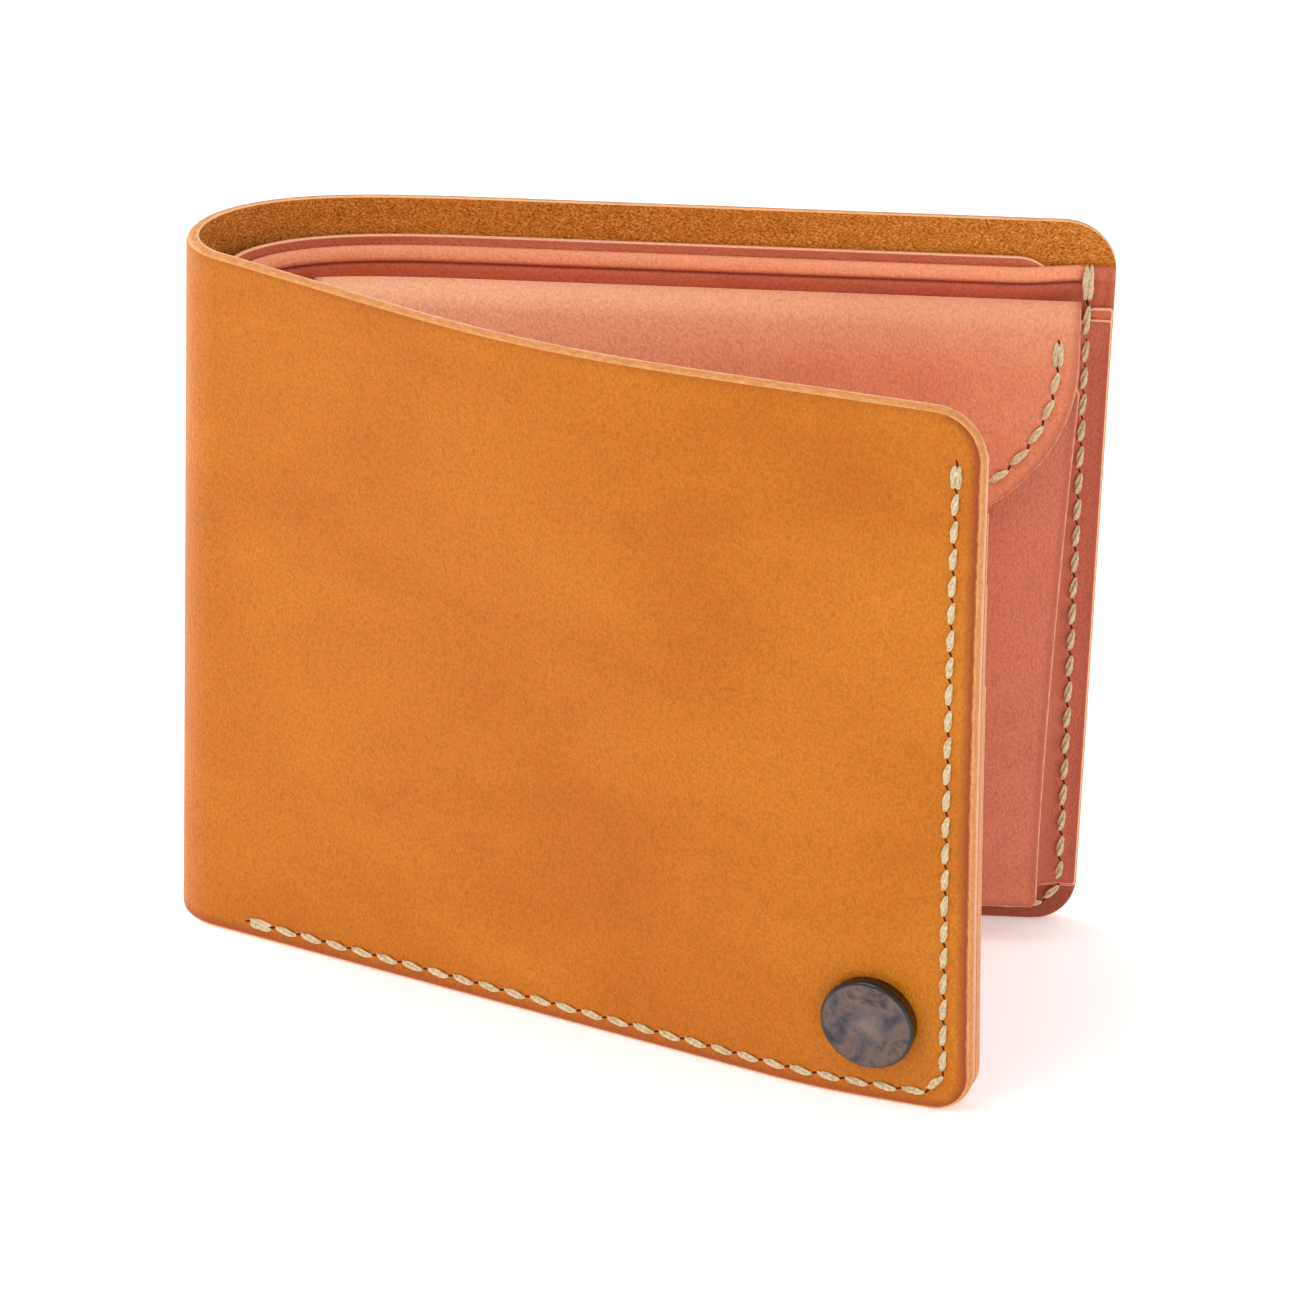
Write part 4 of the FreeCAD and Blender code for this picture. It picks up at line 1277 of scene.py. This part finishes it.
def make_snap():
    """The press stud: cap and socket on the flap, stud and post on the pocket's front."""
    low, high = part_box("snap_cap")
    snap_x, radius = (low.x + high.x) / 2 - ORIGIN[0], (high.x - low.x) / 2
    snap_height = (low.z + high.z) / 2 + SNAP_RAISE
    flap_depth = float(np.interp(snap_height, FLAP.height[:900], FLAP.depth[:900]))
    flap_face = across_back(snap_x, snap_height, flap_depth)
    pocket = float(pocket_depth(np.array(snap_x), np.array(snap_height)))
    pocket_face = across_back(snap_x, snap_height, pocket)
    behind = FLAP_PLY + LINING_PLY + 0.03 * MM
    gap = min(flap_depth - behind - pocket, 1.0 * MM)
    dome = [(radius * math.cos(a), 0.25 * MM + 0.65 * MM * math.sin(a)) for a in np.linspace(0, 1.55, 14)]
    cap = [(0.1 * MM, -0.03 * MM), (radius - 0.15 * MM, -0.03 * MM), *dome]
    for name, profile, seat, body in (
        ("snap_cap", cap, flap_face, "coin_flap"),
        ("snap_socket", disc(4.2 * MM, -behind - gap * 0.55, -behind + 0.02 * MM), flap_face, "coin_flap"),
        ("snap_stud", disc(2.1 * MM, -0.02 * MM, gap * 0.9, 0.2 * MM), pocket_face, "coin_pocket"),
        ("snap_post", disc(3.8 * MM, -1.2 * MM, -0.88 * MM), pocket_face, "coin_pocket"),
    ):
        lathe(name, profile, seat, np.array([0.0, -1.0, 0.0]), body, SNAP_METAL)


make_cover()
make_lining("divider", "bill_divider", DIVIDER_THICKNESS, DIVIDER_HEIGHT, DIVIDER_SHORT,
            (1.5 * MM, 5.0 * MM), [NATURAL_FLESH, PANEL_FACE], {"back": PANEL_EDGE, "front": PANEL_EDGE})
make_lining("inner", "inner_panel", INNER_THICKNESS, INNER_HEIGHT, 0.12 * MM,
            (FOOT_CORNER, 0.8 * MM), [NATURAL_FLESH, INNER_FACE], {"back": INNER_FACE, "front": STACK_EDGE},
            (0.14 * MM, 0.3 * MM))
make_card_slots()
make_pocket()
make_gussets()
make_flap()
make_stitching()
make_concho()
make_snap()


# ---- floor, light and camera --------------------------------------------------------------
def make_stage():
    mesh = bpy.data.meshes.new("floor")
    reach = 3.0
    corners = [(-reach, -reach, 0), (reach, -reach, 0), (reach, reach, 0), (-reach, reach, 0)]
    mesh.from_pydata(corners, [], [(0, 1, 2, 3)])
    floor = bpy.data.objects.new("floor", mesh)
    bpy.context.collection.objects.link(floor)
    shader = Shader("pale_floor")
    shader.finish(colour(250, 249, 249), 0.85, None, specular=0.2)
    shader.surface.inputs["Emission Color"].default_value = colour(255, 250, 250)
    shader.surface.inputs["Emission Strength"].default_value = 0.36
    mesh.materials.append(shader.material)


LIT_POINT = (0, 0, 0.04)


def area_light(name, place, size, power, tint=(1.0, 1.0, 1.0)):
    data = bpy.data.lights.new(name, "AREA")
    data.shape, data.size, data.energy, data.color = "SQUARE", size, power, tint
    lamp = bpy.data.objects.new(name, data)
    lamp.location = place
    lamp.rotation_euler = Vector(np.subtract(LIT_POINT, place)).to_track_quat("-Z", "Y").to_euler()
    bpy.context.collection.objects.link(lamp)


def make_light():
    world = bpy.data.worlds.new("studio")
    world.use_nodes = True
    background = world.node_tree.nodes["Background"]
    background.inputs["Color"].default_value = (1.0, 0.995, 0.99, 1.0)
    background.inputs["Strength"].default_value = 0.78
    bpy.context.scene.world = world
    area_light("key", (-0.4, -0.4, 0.85), 0.6, 2.6)
    area_light("fill", (0.8, -0.5, 0.3), 0.6, 0.6)
    area_light("left", (-0.75, 0.6, 0.3), 0.5, 3.3, (1.0, 0.93, 0.90))
    area_light("rear", (-0.5, 0.5, 0.6), 0.6, 1.6)


CAMERA_YAW, CAMERA_PITCH, CAMERA_ROLL = math.radians(1.48), math.radians(24.94), math.radians(1.58)
CAMERA_DISTANCE = 1.4928
CAMERA_LENS = 352.7
CAMERA_TARGET = (55.28 * MM, -20.0 * MM, 41.74 * MM)


def make_camera():
    a, e, r = CAMERA_YAW, CAMERA_PITCH, CAMERA_ROLL
    forward = Vector((-math.sin(a) * math.cos(e), math.cos(a) * math.cos(e), -math.sin(e)))
    level = Vector((math.cos(a), math.sin(a), 0))
    upright = level.cross(forward)
    right = level * math.cos(r) + upright * math.sin(r)
    up = upright * math.cos(r) - level * math.sin(r)
    data = bpy.data.cameras.new("camera")
    data.lens, data.sensor_width, data.clip_end = CAMERA_LENS, 36.0, 10.0
    camera = bpy.data.objects.new("camera", data)
    facing = Matrix((right, up, -forward)).transposed()
    place = Vector(ORIGIN) + Vector(CAMERA_TARGET) - forward * CAMERA_DISTANCE
    camera.matrix_world = Matrix.Translation(place) @ facing.to_4x4()
    bpy.context.collection.objects.link(camera)
    bpy.context.scene.camera = camera


make_stage()
make_light()
make_camera()
bpy.context.scene.view_settings.view_transform = "Standard"
